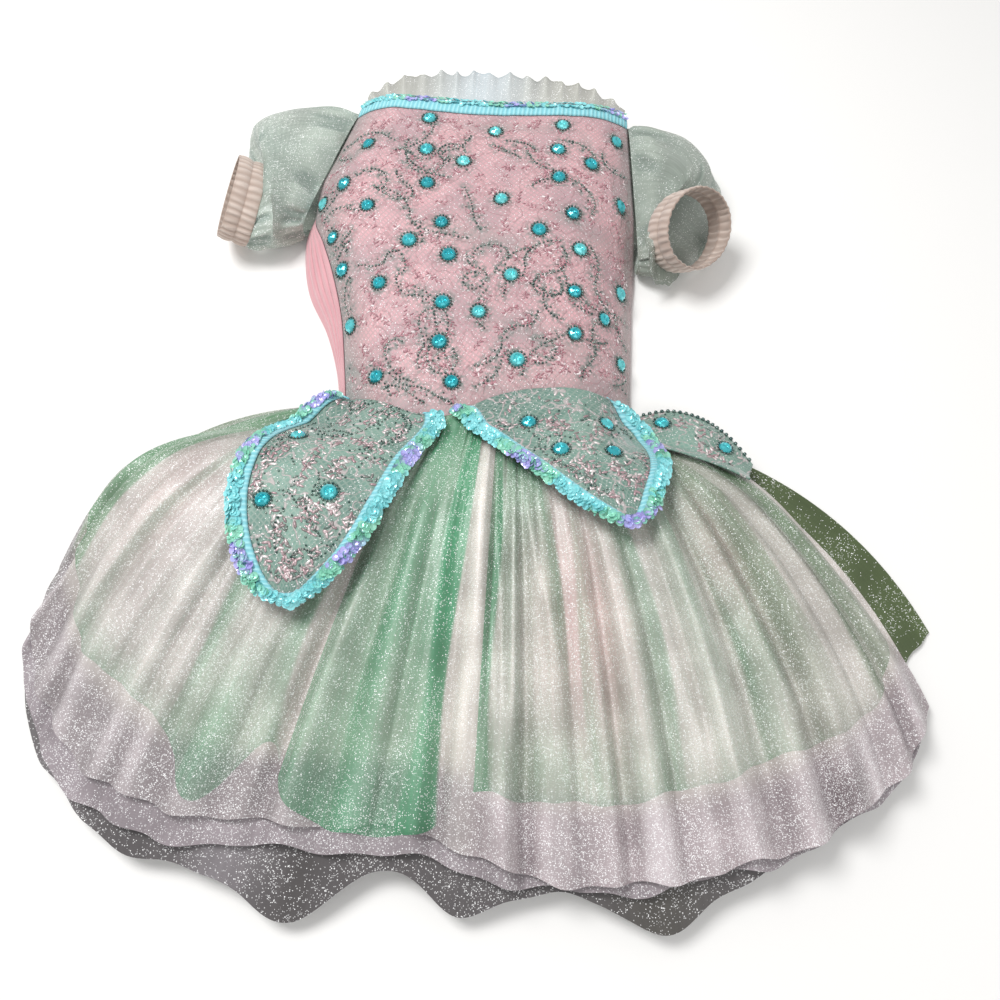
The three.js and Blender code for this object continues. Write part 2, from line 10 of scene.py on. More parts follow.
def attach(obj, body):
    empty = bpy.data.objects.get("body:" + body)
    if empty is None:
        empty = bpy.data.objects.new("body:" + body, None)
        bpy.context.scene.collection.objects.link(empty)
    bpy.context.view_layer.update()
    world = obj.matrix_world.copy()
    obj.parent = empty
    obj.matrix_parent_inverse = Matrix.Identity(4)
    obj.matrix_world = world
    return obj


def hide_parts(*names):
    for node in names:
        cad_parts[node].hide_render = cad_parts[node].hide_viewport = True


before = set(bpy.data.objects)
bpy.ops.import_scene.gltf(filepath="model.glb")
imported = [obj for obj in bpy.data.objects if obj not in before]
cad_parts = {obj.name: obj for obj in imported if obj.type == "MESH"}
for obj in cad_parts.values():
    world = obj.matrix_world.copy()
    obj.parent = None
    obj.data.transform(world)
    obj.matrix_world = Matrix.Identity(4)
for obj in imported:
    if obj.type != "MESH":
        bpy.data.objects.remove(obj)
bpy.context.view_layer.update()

mm = 0.001


def toLinear(hexColour):
    parts = [int(hexColour[i:i + 2], 16) / 255 for i in (0, 2, 4)]
    return tuple(c / 12.92 if c <= 0.04045 else ((c + 0.055) / 1.055) ** 2.4 for c in parts) + (1.0,)


def mix(start, end, share):
    return start + (end - start) * share


def ease(value):
    value = clip(value, 0, 1)
    return value * value * (3 - 2 * value)


def tinted(colour, *changes):  # a cloth's colour over its grid; each change is a colour and how strong it is
    tone = np.array(toLinear(colour))
    for other, strength in changes:
        strength = clip(np.asarray(strength, float), 0, 1)[..., None]
        tone = tone * (1 - strength) + np.array(toLinear(other)) * strength
    return tone


def spot(value, middle, width):  # 1 at the middle, falling softly to 0
    return np.exp(-((value - middle) / width) ** 2)


def puff(across):  # height across a flattened tube of cloth: 0 at its side folds, 1 over its middle
    return 1 - (1 - sin(pi * clip(across, 0, 1))) ** 3


def readTable(columns, rows):  # a smooth curve through rows; columns names them, the place first
    rows = np.array(rows, float)
    at, values = rows[:, 0], rows[:, 1:].T
    last = len(at) - 1

    def read(place):
        place = clip(np.asarray(place, float), at[0], at[-1])
        right = clip(np.searchsorted(at, place, side="right"), 1, last)
        left = right - 1
        before = np.where(left > 0, left - 1, right)
        after = np.where(right < last, np.minimum(right + 1, last), left)
        half = (at[right] - at[left]) / 2
        back, on = half / (at[left] - at[before]), half / (at[after] - at[right])
        p = (place - at[left]) / (at[right] - at[left])
        pp, ppp = p * p, p * p * p
        result = ((2 * pp - ppp - p) * back * values[:, before]
                  + ((1 + back) * ppp - (1.5 + 2 * back) * pp + (back - 0.5) * p + 1) * values[:, left]
                  + ((1.5 + on) * pp - (1 + on) * ppp + 0.5 * p) * values[:, right]
                  + on * (ppp - pp) * values[:, after])
        return result[0] if len(values) == 1 else result
    return read


def stacked(*parts):
    return np.stack(np.broadcast_arrays(*parts), -1)


def creaseHeight(x, y, creases):  # rows of: from x, y, to x, y, half width, height (a trough is negative)
    height = np.zeros(np.broadcast(x, y).shape)
    for x0, y0, x1, y1, width, depth in creases:
        dx, dy = x1 - x0, y1 - y0
        t = ((x - x0) * dx + (y - y0) * dy) / (dx * dx + dy * dy)
        inside = clip(t, 0, 1)
        away = np.hypot(x - x0 - inside * dx, y - y0 - inside * dy)
        taper = np.sqrt(clip(sin(pi * clip(mix(0.08, 0.92, inside), 0, 1)), 0, 1))
        height = height + depth * taper * np.exp(-(away / width) ** 2)
    return height


def placed(name, data):
    made = bpy.data.objects.new(name, data)
    bpy.context.collection.objects.link(made)
    return made


def clothObject(name, grid, material, wrapped=False, thickness=0.0, layers=None):
    # grid is [column][row] points in mm; layers are named numbers for the materials
    columns, rows = grid.shape[:2]
    index = np.arange(columns * rows).reshape(columns, rows)
    left = index if wrapped else index[:-1]
    right = np.roll(index, -1, 0) if wrapped else index[1:]
    quads = np.stack([left[:, :-1], right[:, :-1], right[:, 1:], left[:, 1:]], -1).reshape(-1, 4)
    points = grid.reshape(-1, 3) * mm
    a, b, c, d = points[quads].transpose(1, 0, 2)
    facing = np.cross(c - a, d - b)
    if wrapped:
        middles = grid.mean(0) * mm
        middle = np.broadcast_to(middles, (columns, rows, 3)).reshape(-1, 3)[quads].mean(1)
        outward = (facing * ((a + c) / 2 - middle)).sum()
    else:
        outward = facing[:, 2].sum()
    if outward < 0:
        quads = quads[:, ::-1]
    mesh = bpy.data.meshes.new(name)
    mesh.from_pydata(points.tolist(), [], quads.tolist())
    span = np.linalg.norm(np.diff(grid[:, rows // 2], axis=0), axis=1)
    drop = np.linalg.norm(np.diff(grid[columns // 2], axis=0), axis=1)
    across = np.concatenate([[0], np.cumsum(span)]) * mm
    down = np.concatenate([[0], np.cumsum(drop)]) * mm
    flat = np.stack(np.meshgrid(across, down, indexing="ij"), -1).reshape(-1, 2)
    corners = np.zeros(len(mesh.loops), int)
    mesh.loops.foreach_get("vertex_index", corners)
    mesh.uv_layers.new(name="cloth").data.foreach_set("uv", flat[corners].astype(np.float32).ravel())
    for key, numbers in (layers or {}).items():
        kind, field, shape = ("FLOAT_COLOR", "color", (columns, rows, 4)) if key == "tone" else (
            "FLOAT", "value", (columns, rows))
        values = np.broadcast_to(numbers, shape).astype(np.float32).ravel()
        mesh.attributes.new(key, kind, "POINT").data.foreach_set(field, values)
    mesh.polygons.foreach_set("use_smooth", np.ones(len(mesh.polygons), bool))
    mesh.materials.append(material)
    cloth = placed(name, mesh)
    if thickness:
        shell = cloth.modifiers.new("wall", "SOLIDIFY")
        shell.thickness = thickness * mm
        shell.offset = -1
    return cloth


def meshObject(name, points, faces, smooth=True):
    mesh = bpy.data.meshes.new(name)
    mesh.from_pydata([tuple(np.array(p) * mm) for p in points], [], faces)
    mesh.polygons.foreach_set("use_smooth", np.full(len(mesh.polygons), smooth))
    return placed(name, mesh)


def feed(tree, node, inputs):  # values, sockets, or nodes whose first output is meant
    for key, value in inputs.items():
        if isinstance(value, bpy.types.Node):
            value = value.outputs[0]
        if isinstance(value, bpy.types.NodeSocket):
            tree.links.new(value, node.inputs[key])
        else:
            node.inputs[key].default_value = value


def add(tree, kind, settings=None, inputs=None):  # a node with its settings, and its values or links
    made = tree.nodes.new("ShaderNode" + kind if tree.type == "SHADER" else kind)
    for key, value in (settings or {}).items():
        setattr(made, key, value)
    feed(tree, made, inputs or {})
    return made


def layered(tree, colour, layers):  # colours laid over one another, each as strongly as its share says
    for share, over in layers:
        colour = add(tree, "Mix", {"data_type": "RGBA"}, {
            "Factor": share, "A": colour, "B": toLinear(over)}).outputs["Result"]
    return colour


def newMaterial(name, shaderInputs):
    material = bpy.data.materials.new(name)
    material.use_nodes = True
    tree = material.node_tree
    shader = tree.nodes["Principled BSDF"]
    feed(tree, shader, shaderInputs)
    return material, tree, shader


def bands(apart):  # a wave texture's scale for bands so many mm apart
    return round(pi / 10 / (apart * mm))


def grain(across):  # the scale of a noise or of cells so many mm across
    return round(1 / (across * mm))


def patternPlaces(tree):  # where patterns lie: in the room, and along the cloth itself
    return add(tree, "TexCoord").outputs["Object"], add(tree, "UVMap", {"uv_map": "cloth"})


def numbersOf(tree, *names):  # what a mesh's own layers say
    return [add(tree, "Attribute", {"attribute_name": name}).outputs["Fac"] for name in names]


def flakes(tree, place, across, limit, small, larger=0.0):  # one in each cell whose number beats a limit
    cells = add(tree, "TexVoronoi", None, {"Vector": place, "Scale": grain(across)})
    chance = add(tree, "SeparateColor", None, {"Color": cells.outputs["Color"]}).outputs
    lucky = add(tree, "Math", {"operation": "GREATER_THAN"}, {0: chance["Red"], 1: limit})
    reach = add(tree, "Math", {"operation": "MULTIPLY_ADD"}, {0: chance["Green"], 1: larger, 2: small})
    close = add(tree, "Math", {"operation": "LESS_THAN"}, {0: cells.outputs["Distance"], 1: reach})
    return add(tree, "Math", {"operation": "MULTIPLY"}, {0: lucky, 1: close}), chance["Blue"]


# Materials
# Sheer organza: a plain weave of fine glittering threads; the eye sees a soft veil with sharp
# white sparks. Threads are 0.2 mm apart, too fine to show, and are drawn 1.2 mm apart; the
# glitter's 0.2 mm flakes are drawn 0.4 to 0.7 mm across.
def glitterOrganza(name, look):
    material, tree, shader = newMaterial(name, {
        "Roughness": look["roughness"], "Specular IOR Level": look["gloss"]})
    place, cloth = patternPlaces(tree)
    tone = add(tree, "Attribute", {"attribute_name": "tone"}).outputs["Color"]
    veil, extra = numbersOf(tree, "veil", "glitter")
    cloudy = add(tree, "TexNoise", None, {
        "Vector": place, "Scale": grain(29.4), "Detail": 1, "Roughness": 0.6})
    shade = add(tree, "MapRange", None, {
        "Value": cloudy, "From Min": 0.3, "From Max": 0.7, "To Min": 0.84, "To Max": 1.1})
    streaks = add(tree, "Mapping", None, {"Vector": cloth, "Scale": (grain(1.613), grain(41.7), 1)})
    threads = add(tree, "TexNoise", None, {"Vector": streaks, "Scale": 1, "Detail": 0})
    weave = add(tree, "TexWave", {"bands_direction": "Y"}, {
        "Vector": cloth, "Scale": bands(1.2), "Detail": 0}).outputs["Fac"]
    woven = add(tree, "Math", {"operation": "MULTIPLY_ADD"}, {0: weave, 1: 0.25, 2: threads})
    fine = add(tree, "MapRange", None, {
        "Value": woven, "From Min": 0.35, "From Max": 0.95, "To Min": 0.93, "To Max": 1.06})
    both = add(tree, "Math", {"operation": "MULTIPLY"}, {0: shade, 1: fine})
    shaded = add(tree, "VectorMath", {"operation": "SCALE"}, {0: tone, "Scale": both})
    # Glitter gathers in clouds, and more of it where the mesh's own layer says so
    usual = add(tree, "Math", {"operation": "SUBTRACT"}, {0: look["glitter"], 1: extra})
    limit = add(tree, "Math", {"operation": "MULTIPLY_ADD"}, {0: cloudy, 1: -1.1, 2: usual})
    spark, chance = flakes(tree, place, 0.741, limit, 0.25, 0.25)
    bright = add(tree, "MapRange", None, {"Value": chance, "To Min": 0.35, "To Max": 1.0})
    glint = add(tree, "Math", {"operation": "MULTIPLY"}, {0: spark, 1: bright})
    feed(tree, shader, {"Base Color": layered(tree, shaded, [(glint, "ffffff")])})
    if look["sheer"]:
        thin = add(tree, "MapRange", None, {
            "Value": woven, "From Min": 0.35, "From Max": 0.95, "To Min": -0.05, "To Max": 0.05})
        solid = add(tree, "Math", {"operation": "ADD"}, {0: veil, 1: thin})
        shine = add(tree, "Math", {"operation": "MULTIPLY_ADD"}, {0: glint, 1: 0.55, 2: solid})
        feed(tree, shader, {"Alpha": add(tree, "Clamp", None, {"Value": shine, "Min": 0.0, "Max": 1.0})})
    return material


# Stretch knit and smocked cotton: soft, matt and faintly ribbed; ribs are 0.5 mm apart, drawn 2.9 mm apart
def stretchKnit(name, colour, shade):
    material, tree, shader = newMaterial(name, {
        "Roughness": 0.75, "Sheen Weight": 0.4, "Sheen Roughness": 0.5, "Specular IOR Level": 0.25})
    place, cloth = patternPlaces(tree)
    denseAndShade, = numbersOf(tree, "denseAndShade")
    ribs = add(tree, "TexWave", {"bands_direction": "X"}, {
        "Vector": cloth, "Scale": bands(2.86)}).outputs["Fac"]
    cloudy = add(tree, "TexNoise", None, {"Vector": place, "Scale": grain(33.3), "Detail": 4})
    # The shade colour lies in cloudy patches, and as painted shade where the mesh's own layer says, in the
    # cuffs' pleats
    feed(tree, shader, {
        "Base Color": layered(tree, toLinear(colour), [(cloudy, shade), (denseAndShade, shade)]),
        "Normal": add(tree, "Bump", None, {"Strength": 0.3, "Distance": 0.4 * mm, "Height": ribs})})
    return material


# Embroidered net over cloth: a fine grey mesh dulls the cloth below it, and thin metallic threads
# wander over it in loops. Mesh holes are 0.8 mm, drawn 3 mm across.
def embroideredNet(name, look):
    material, tree, shader = newMaterial(name, {
        "Roughness": 0.55, "Sheen Weight": 0.3, "Sheen Roughness": 0.4, "Specular IOR Level": 0.45})
    place, cloth = patternPlaces(tree)
    denseAndShade, vine = numbersOf(tree, "denseAndShade", "vine")
    cloudy = add(tree, "TexNoise", None, {"Vector": place, "Scale": grain(look["patchAcross"]), "Detail": 2})
    patches = add(tree, "MapRange", None, {"Value": cloudy, "From Min": 0.42, "From Max": 0.62})
    # The net: diagonal bands one way and, mirrored, the other
    mirrored = add(tree, "Mapping", None, {"Vector": cloth, "Scale": (-1, 1, 1)})
    oneWay, otherWay = (add(tree, "TexWave", {"bands_direction": "DIAGONAL"}, {
        "Vector": way, "Scale": bands(2.1)}).outputs["Fac"] for way in (cloth, mirrored))
    crossed = add(tree, "Math", {"operation": "MAXIMUM"}, {0: oneWay, 1: otherWay})
    mesh = add(tree, "MapRange", None, {
        "Value": crossed, "From Min": 0.6, "From Max": 1.0, "To Min": 0.0, "To Max": look["netShow"]})
    # Broken stitches beside the beaded vines
    torn = add(tree, "TexNoise", None, {"Vector": place, "Scale": grain(2.38), "Detail": 1})
    traced = add(tree, "MapRange", None, {"Value": torn, "From Min": 0.42, "From Max": 0.58})
    vined = add(tree, "Math", {"operation": "MULTIPLY"}, {0: vine, 1: traced})
    # Looping threads: thin lines where a noise is close to its middle value
    loops = add(tree, "TexNoise", None, {"Vector": place, "Scale": grain(look["loopAcross"]), "Detail": 1})
    fromLoop = add(tree, "Math", {"operation": "SUBTRACT"}, {0: loops, 1: 0.5})
    away = add(tree, "Math", {"operation": "ABSOLUTE"}, {0: fromLoop})
    line = add(tree, "MapRange", None, {
        "Value": away, "From Min": 0.012, "From Max": 0.035, "To Min": 1.0, "To Max": 0.0})
    kept = add(tree, "MapRange", None, {"Value": torn, "From Min": 0.36, "From Max": 0.5})
    thread = add(tree, "Math", {"operation": "MULTIPLY"}, {0: line, 1: kept})
    sewn = add(tree, "Math", {"operation": "MULTIPLY"}, {0: thread, 1: look["threadShow"]})
    spark, _ = flakes(tree, place, 0.769, look["sparkLimit"], 0.4)
    raised = add(tree, "Math", {"operation": "MULTIPLY_ADD"}, {0: crossed, 1: 0.3, 2: line})
    # A darker grey-green goes where the mesh's own layer says: net that has bunched up, and painted shade at
    # the edges, in the hollows and at the petals' roots
    feed(tree, shader, {
        "Base Color": layered(tree, toLinear(look["colour"]), [
            (patches, look["second"]), (denseAndShade, look["bunchedAndShade"]), (vined, look["vine"]), (mesh, look["net"]),
            (sewn, look["thread"]), (spark, "f3eef0")]),
        "Normal": add(tree, "Bump", None, {"Strength": 0.5, "Distance": 0.6 * mm, "Height": raised})})
    return material


# Ribbed elastic: narrow cords side by side with pale tops and deeper valleys; the cords are
# 1.6 mm apart, drawn 3.2 mm apart
def ribbedElastic(name, colour, shade):
    material, tree, shader = newMaterial(name, {
        "Roughness": 0.6, "Sheen Weight": 0.5, "Sheen Roughness": 0.3, "Specular IOR Level": 0.4})
    _, cloth = patternPlaces(tree)
    ribs = add(tree, "TexWave", {"bands_direction": "X"}, {
        "Vector": cloth, "Scale": bands(3.2), "Distortion": 0.8, "Detail": 1}).outputs["Fac"]
    fuzz = add(tree, "TexNoise", None, {"Vector": cloth, "Scale": grain(2.0), "Detail": 2})
    tone = add(tree, "Math", {"operation": "MULTIPLY"}, {0: ribs, 1: 0.7})
    fuzzy = add(tree, "Math", {"operation": "MULTIPLY_ADD"}, {0: fuzz, 1: 0.3, 2: tone})
    # Painted shade: the second colour darkens the valleys between the cords
    feed(tree, shader, {
        "Base Color": layered(tree, toLinear(shade), [(fuzzy, colour)]),
        "Normal": add(tree, "Bump", None, {"Strength": 0.7, "Distance": 0.8 * mm, "Height": fuzzy})})
    return material


# Small hard ornaments take a colour from their own number, so that neighbours differ
def ornament(name, colours, shaderInputs):
    material, tree, shader = newMaterial(name, shaderInputs)
    tint, = numbersOf(tree, "tint")
    ramp = add(tree, "ValToRGB", None, {"Fac": tint})
    stops = ramp.color_ramp.elements
    while len(stops) < len(colours):
        stops.new(0.5)
    for stop, (place, colour) in zip(stops, colours):
        stop.position = place
        stop.color = toLinear(colour)
    feed(tree, shader, {"Base Color": ramp})
    return material


organzaLook = {"roughness": 0.4, "gloss": 0.5, "glitter": 1.12, "sheer": True}
ivoryFolded = glitterOrganza("ivory glitter organza, folded thick", dict(organzaLook, sheer=False))
mintOrganza = glitterOrganza("mint glitter organza", dict(organzaLook, glitter=1.18))
mintFolded = glitterOrganza("mint glitter organza, folded thick", dict(
    organzaLook, glitter=1.2, sheer=False))
mauveNet = glitterOrganza("mauve soft net", dict(organzaLook, roughness=0.5, glitter=1.14, sheer=False))
smokeNet = glitterOrganza("smoke soft net", dict(organzaLook, roughness=0.5, glitter=1.2, sheer=False))
sageOrganza = glitterOrganza("sage satin organza", dict(organzaLook, glitter=1.3))
ruffleOrganza = glitterOrganza("ivory ruffle organza", dict(organzaLook, glitter=1.34))
pinkKnit = stretchKnit("pink stretch knit", "dcadb1", "c98f97")
peachSmocking = stretchKnit("peach smocked cotton", "f0e3d9", "aa968a")
beadedLace = embroideredNet("embroidered net over pink knit", {
    "colour": "d6a6ab", "second": "bb969c", "bunchedAndShade": "7f8d87", "net": "a39998", "netShow": 0.55,
    "vine": "5f716b", "thread": "a98589", "threadShow": 0.6, "patchAcross": 38.5, "loopAcross": 13.3,
    "sparkLimit": 0.9})
petalLace = embroideredNet("embroidered net over sage organza", {
    "colour": "7b9c8f", "second": "66867b", "bunchedAndShade": "4a675f", "net": "a3ada3", "netShow": 0.4,
    "vine": "4f625c", "thread": "c3b3b4", "threadShow": 0.75, "patchAcross": 25, "loopAcross": 11.1,
    "sparkLimit": 0.88})
aquaElastic = ribbedElastic("aqua ribbed elastic", "a9e2e8", "74c0cc")
# Iridescent sequins: thin pearl-coated film that turns from aqua to mint and violet
sequinFilm = ornament("iridescent sequin film", [
    (0.0, "9ae6ea"), (0.36, "8adbe0"), (0.5, "9adfc6"), (0.84, "92d6bf"), (0.93, "b0b4ea"),
    (1.0, "bdb7f0")], {"Roughness": 0.25, "Metallic": 0.15, "Coat Weight": 0.6, "Coat Roughness": 0.12})
# Foiled acrylic cups: a bright turquoise mirror behind a clear face
foilCup = ornament("foiled turquoise acrylic", [(0.0, "1f9ba8"), (0.5, "35bfca"), (1.0, "7fe8ea")], {
    "Roughness": 0.16, "Metallic": 0.55, "Coat Weight": 1.0, "Coat Roughness": 0.05})
# Silver-lined glass seed beads: dark with a bright point of light
darkBeads = ornament("silver-lined seed beads", [(0.0, "31504d"), (0.5, "687c75"), (1.0, "a9b3ab")], {
    "Roughness": 0.2, "Metallic": 0.6, "Coat Weight": 0.6, "Coat Roughness": 0.08})
# Embroidery threads: smooth stitches with a soft line of light, rayon in pinks and metallic silver
sprigThread = ornament("rayon embroidery thread", [
    (0.0, "94626c"), (0.45, "b37a84"), (0.75, "c9a5a9"), (1.0, "efe6e6")], {
    "Roughness": 0.35, "Sheen Weight": 0.4, "Specular IOR Level": 0.6})
silverThread = ornament("silver embroidery thread", [
    (0.0, "6f8079"), (0.3, "a98a8f"), (0.65, "c2b0b1"), (1.0, "e9e2e0")], {
    "Roughness": 0.3, "Metallic": 0.25, "Specular IOR Level": 0.6})
print("materials made")


# Small parts, laid out on a surface by Geometry Nodes
def ringShape(name, rings, sides, smooth=False, stretch=1.0, base=None):
    # rings are rows of radius and height, from the middle out; a base closes the shape below
    points, faces = [(0, 0, rings[0][1])], []
    turns = 2 * pi * np.arange(sides) / sides
    for radius, height in rings[1:]:
        points += [(radius * cos(turn) * stretch, radius * sin(turn), height) for turn in turns]
    if base is not None:
        points.append((0, 0, base))
    last = 1 + (len(rings) - 2) * sides
    for side in range(sides):
        on = (side + 1) % sides
        faces.append((0, 1 + side, 1 + on))
        for first in range(1, last, sides):
            faces.append((first + side, first + sides + side, first + sides + on, first + on))
        if base is not None:
            faces.append((last + side, len(points) - 1, last + on))
    return meshObject(name, points, faces, smooth)


def beadRings(radius, flat=1.0):
    return [(radius * sin(down), radius * cos(down) * flat) for down in np.radians((0, 50, 100, 140))]


smallParts = {
    "cup": ringShape("cupShape", [(0, 0.9), (0.9, 1.5), (1.7, 1.0), (2.6, 2.2), (3.7, 1.5), (4.5, 0.1)], 10),
    "bead": ringShape("beadShape", beadRings(0.85), 6, True, base=-0.85),
    "leaf": ringShape("leafShape", beadRings(0.7, 0.6), 6, True, stretch=2.6, base=-0.42),
    "sequin": ringShape("sequinShape", [(0, 0.0), (0.6, 0.15), (1.6, 0.3), (2.4, 0.75)], 8),
}


def makeScatterTree():  # a part on every point, facing and turned as the point says
    tree = bpy.data.node_groups.new("scatterParts", "GeometryNodeTree")
    inputs = {"Points": "Geometry", "Part": "Object", "Finish": "Material", "Scale": "Float"}
    for socket, kind in inputs.items():
        tree.interface.new_socket(socket, in_out="INPUT", socket_type="NodeSocket" + kind)
    tree.interface.new_socket("Geometry", in_out="OUTPUT", socket_type="NodeSocketGeometry")
    given = add(tree, "NodeGroupInput").outputs
    facing, turn, size = (
        add(tree, "GeometryNodeInputNamedAttribute", {"data_type": kind}, {"Name": key}).outputs["Attribute"]
        for key, kind in (("facing", "FLOAT_VECTOR"), ("turn", "FLOAT"), ("size", "FLOAT")))
    part = add(tree, "GeometryNodeObjectInfo", None, {"Object": given["Part"]})
    aligned = add(tree, "FunctionNodeAlignRotationToVector", {"axis": "Z"}, {"Vector": facing})
    spun = add(tree, "FunctionNodeAxisAngleToRotation", None, {"Axis": (0, 0, 1), "Angle": turn})
    turned = add(tree, "FunctionNodeRotateRotation", {"rotation_space": "LOCAL"}, {0: aligned, 1: spun})
    scaled = add(tree, "ShaderNodeMath", {"operation": "MULTIPLY"}, {0: size, 1: given["Scale"]})
    laid = add(tree, "GeometryNodeInstanceOnPoints", None, {
        "Points": given["Points"], "Instance": part.outputs["Geometry"],
        "Rotation": turned, "Scale": scaled})
    real = add(tree, "GeometryNodeRealizeInstances", None, {"Geometry": laid})
    finished = add(tree, "GeometryNodeSetMaterial", None, {"Geometry": real, "Material": given["Finish"]})
    add(tree, "NodeGroupOutput", None, {"Geometry": finished})
    return tree


scatterTree = makeScatterTree()


def scatter(name, part, spots, finish, scale=1.0):  # spots: x, y, z, facing x, y, z, turn, size, tint
    spots = np.array(spots, float)
    mesh = bpy.data.meshes.new(name + "Spots")
    mesh.from_pydata((spots[:, :3] * mm).tolist(), [], [])
    for key, kind, field, columns in (
            ("facing", "FLOAT_VECTOR", "vector", [3, 4, 5]), ("turn", "FLOAT", "value", 6),
            ("size", "FLOAT", "value", 7), ("tint", "FLOAT", "value", 8)):
        values = spots[:, columns].astype(np.float32).ravel()
        mesh.attributes.new(key, kind, "POINT").data.foreach_set(field, values)
    cloud = placed(name + "Spots", mesh)
    lay = cloud.modifiers.new("scatter", "NODES")
    lay.node_group = scatterTree
    given = {"Part": smallParts[part], "Finish": finish, "Scale": float(scale)}
    for item in scatterTree.interface.items_tree:
        if item.in_out == "INPUT" and item.name in given:
            lay[item.identifier] = given[item.name]
    graph = bpy.context.evaluated_depsgraph_get()
    made = bpy.data.meshes.new_from_object(
        cloud.evaluated_get(graph), preserve_all_data_layers=True, depsgraph=graph)
    made.name = name
    bpy.data.objects.remove(cloud)
    return placed(name, made)


def unit(vector):
    return vector / np.linalg.norm(vector)


def way(turn):  # one step in a direction
    return np.array([cos(turn), sin(turn)])


def spotOn(surface, u, v, lift):  # a place on a surface, and which way the surface faces there
    step = 1e-3
    here, right, up = surface(u, v), surface(u + step, v), surface(u, v + step)
    facing = unit(np.cross(right - here, up - here))
    facing = facing * np.sign(facing[2])
    return np.concatenate([here + lift * facing, facing])


# Bodice
bodice = {
    "length": 258, "backNeck": 254, "sideEdge": 3.1, "roll": 3, "armholeRise": 16,
    "armholeLeft": 140, "armholeRight": 120, "armholeFade": 42, "trimStart": 0.947, "wall": 1.0,
    "backWall": 0.9, "offTable": 0.35, "ribbing": 1.3, "fineCrease": 0.22,
}
sewing = {  # gem cups ringed with seed beads, vines of beads, and stitched sprigs
    "ring": 5.7, "ringBeads": 15, "beadsApart": 2.6, "vines": 60, "vineClear": 7.5, "sprigs": 330,
    "sprigClear": 7, "stitchApart": 1.5, "bloomShare": 0.45, "bloomReach": 2.0,
}
bodiceSpan = readTable("y left front right crown", [
    [0, -90, -85, 102, 39], [30, -97, -90, 102, 41], [60, -108, -95, 102, 43], [90, -124, -104, 102, 44],
    [120, -132, -116, 103, 45], [145, -134, -127, 101.4, 45], [165, -129, -129, 99.9, 44],
    [200, -120.4, -120.4, 97.3, 42], [230, -113, -113, 95.1, 39], [258, -106, -106, 93, 36]])
waistSeam = readTable("x y", [[-93, 10], [-60, -2], [-33, -12], [-13, -10], [20, 6], [68, 14], [102, 12]])
backSeam = readTable("x y", [[-93, 10], [-84, 0], [-62, -9], [0, -10], [66, -9], [92, 0], [102, 12]])
neckline = readTable("x y", [[-106, 260], [-85, 258], [-61, 254], [3, 252], [52, 256], [80, 261], [93, 264]])
bodiceCreases = [  # soft folds where the net has bunched, and the two seams
    [-120, 150, -96, 30, 3.5, 0.9], [-112, 128, -88, 22, 2.6, -0.9], [-104, 150, -84, 60, 3.0, 0.7],
    [-98, 60, -52, 20, 4.0, 0.8], [-90, 30, -30, 4, 3.4, -0.8], [-60, 34, -8, 20, 5.0, 0.8],
    [-40, 128, 26, 118, 9.0, -0.8], [-70, 176, 20, 190, 10.0, 0.8], [10, 60, 70, 40, 8.0, -0.8],
    [20, 40, 84, 22, 4.0, 0.9], [30, 100, 84, 92, 7.0, 0.8], [-108, 190, -84, 222, 4.0, -1.0],
    [-116, 176, -92, 196, 3.5, 0.9], [60, 228, 84, 180, 4.0, -0.8], [70, 216, 92, 150, 3.0, 0.9],
    [89, 236, 87, 26, 1.1, 0.7], [80, 222, 84, 140, 1.0, 0.5], [96, 200, 97, 40, 2.0, -0.7],
    [-30, 226, 40, 228, 6.0, -0.7], [-60, 96, 0, 84, 8.0, 0.7], [40, 150, 80, 132, 7.0, -0.7]]
bodiceGems = [
    (0.29, 0.915), (0.53, 0.88), (0.76, 0.905), (0.95, 0.87), (0.12, 0.79), (0.32, 0.79), (0.45, 0.76),
    (0.75, 0.8), (0.86, 0.75), (0.1, 0.64), (0.36, 0.67), (0.76, 0.69), (0.59, 0.62), (0.18, 0.55),
    (0.03, 0.61), (0.8, 0.56), (0.95, 0.62), (0.41, 0.55), (0.69, 0.5), (0.035, 0.46), (0.29, 0.47),
    (0.41, 0.45), (0.81, 0.44), (0.035, 0.35), (0.16, 0.32), (0.59, 0.36), (0.79, 0.3), (0.37, 0.31),
    (0.48, 0.27), (0.89, 0.24), (0.95, 0.36), (0.035, 0.2), (0.35, 0.2), (0.79, 0.17), (0.6, 0.1),
    (0.13, 0.07), (0.39, 0.09), (0.955, 0.14)]


def bodiceTop(x, y, rise=1.0):
    left, _, right, crown = bodiceSpan(y)
    across = (x - left) / (right - left)
    leftRise = ease((y - bodice["armholeLeft"]) / bodice["armholeFade"])
    rightRise = ease((y - bodice["armholeRight"]) / bodice["armholeFade"])
    edge = bodice["sideEdge"] + rise * bodice["armholeRise"] * mix(leftRise, rightRise, across)
    return edge + (crown - edge) * puff(across)


def bodiceAt(u, v):
    y = v * bodice["length"]
    _, front, right, _ = bodiceSpan(y)
    x = mix(front, right, u)
    here = mix(waistSeam(x), neckline(x), v)
    soft = ease(u / 0.06) * ease((1 - u) / 0.06) * ease(v / 0.04) * ease((1 - v) / 0.06)
    fine = bodice["fineCrease"] * sin(x * 0.31 + 2 * sin(here * 0.045)) * sin(here * 0.19 + x * 0.05)
    return np.stack([x, here, bodiceTop(x, y) + soft * (creaseHeight(x, here, bodiceCreases) + fine)], -1)


def spread(columns, rows, low=0.0, high=1.0):  # across a cloth from low to high, and down it from 0 to 1
    return np.meshgrid(np.linspace(low, high, columns), np.linspace(0, 1, rows), indexing="ij")


u, v = spread(150, 160)
bodiceGrid = bodiceAt(u, v)
# Painted shade: darker along both side edges and in the troughs of the creases
edgeShade = 1 - ease(u / 0.14) * ease((1.02 - u) / 0.1)
hollows = clip(-creaseHeight(bodiceGrid[..., 0], bodiceGrid[..., 1], bodiceCreases) * 0.5, 0, 0.6)

dice = np.random.default_rng(11)


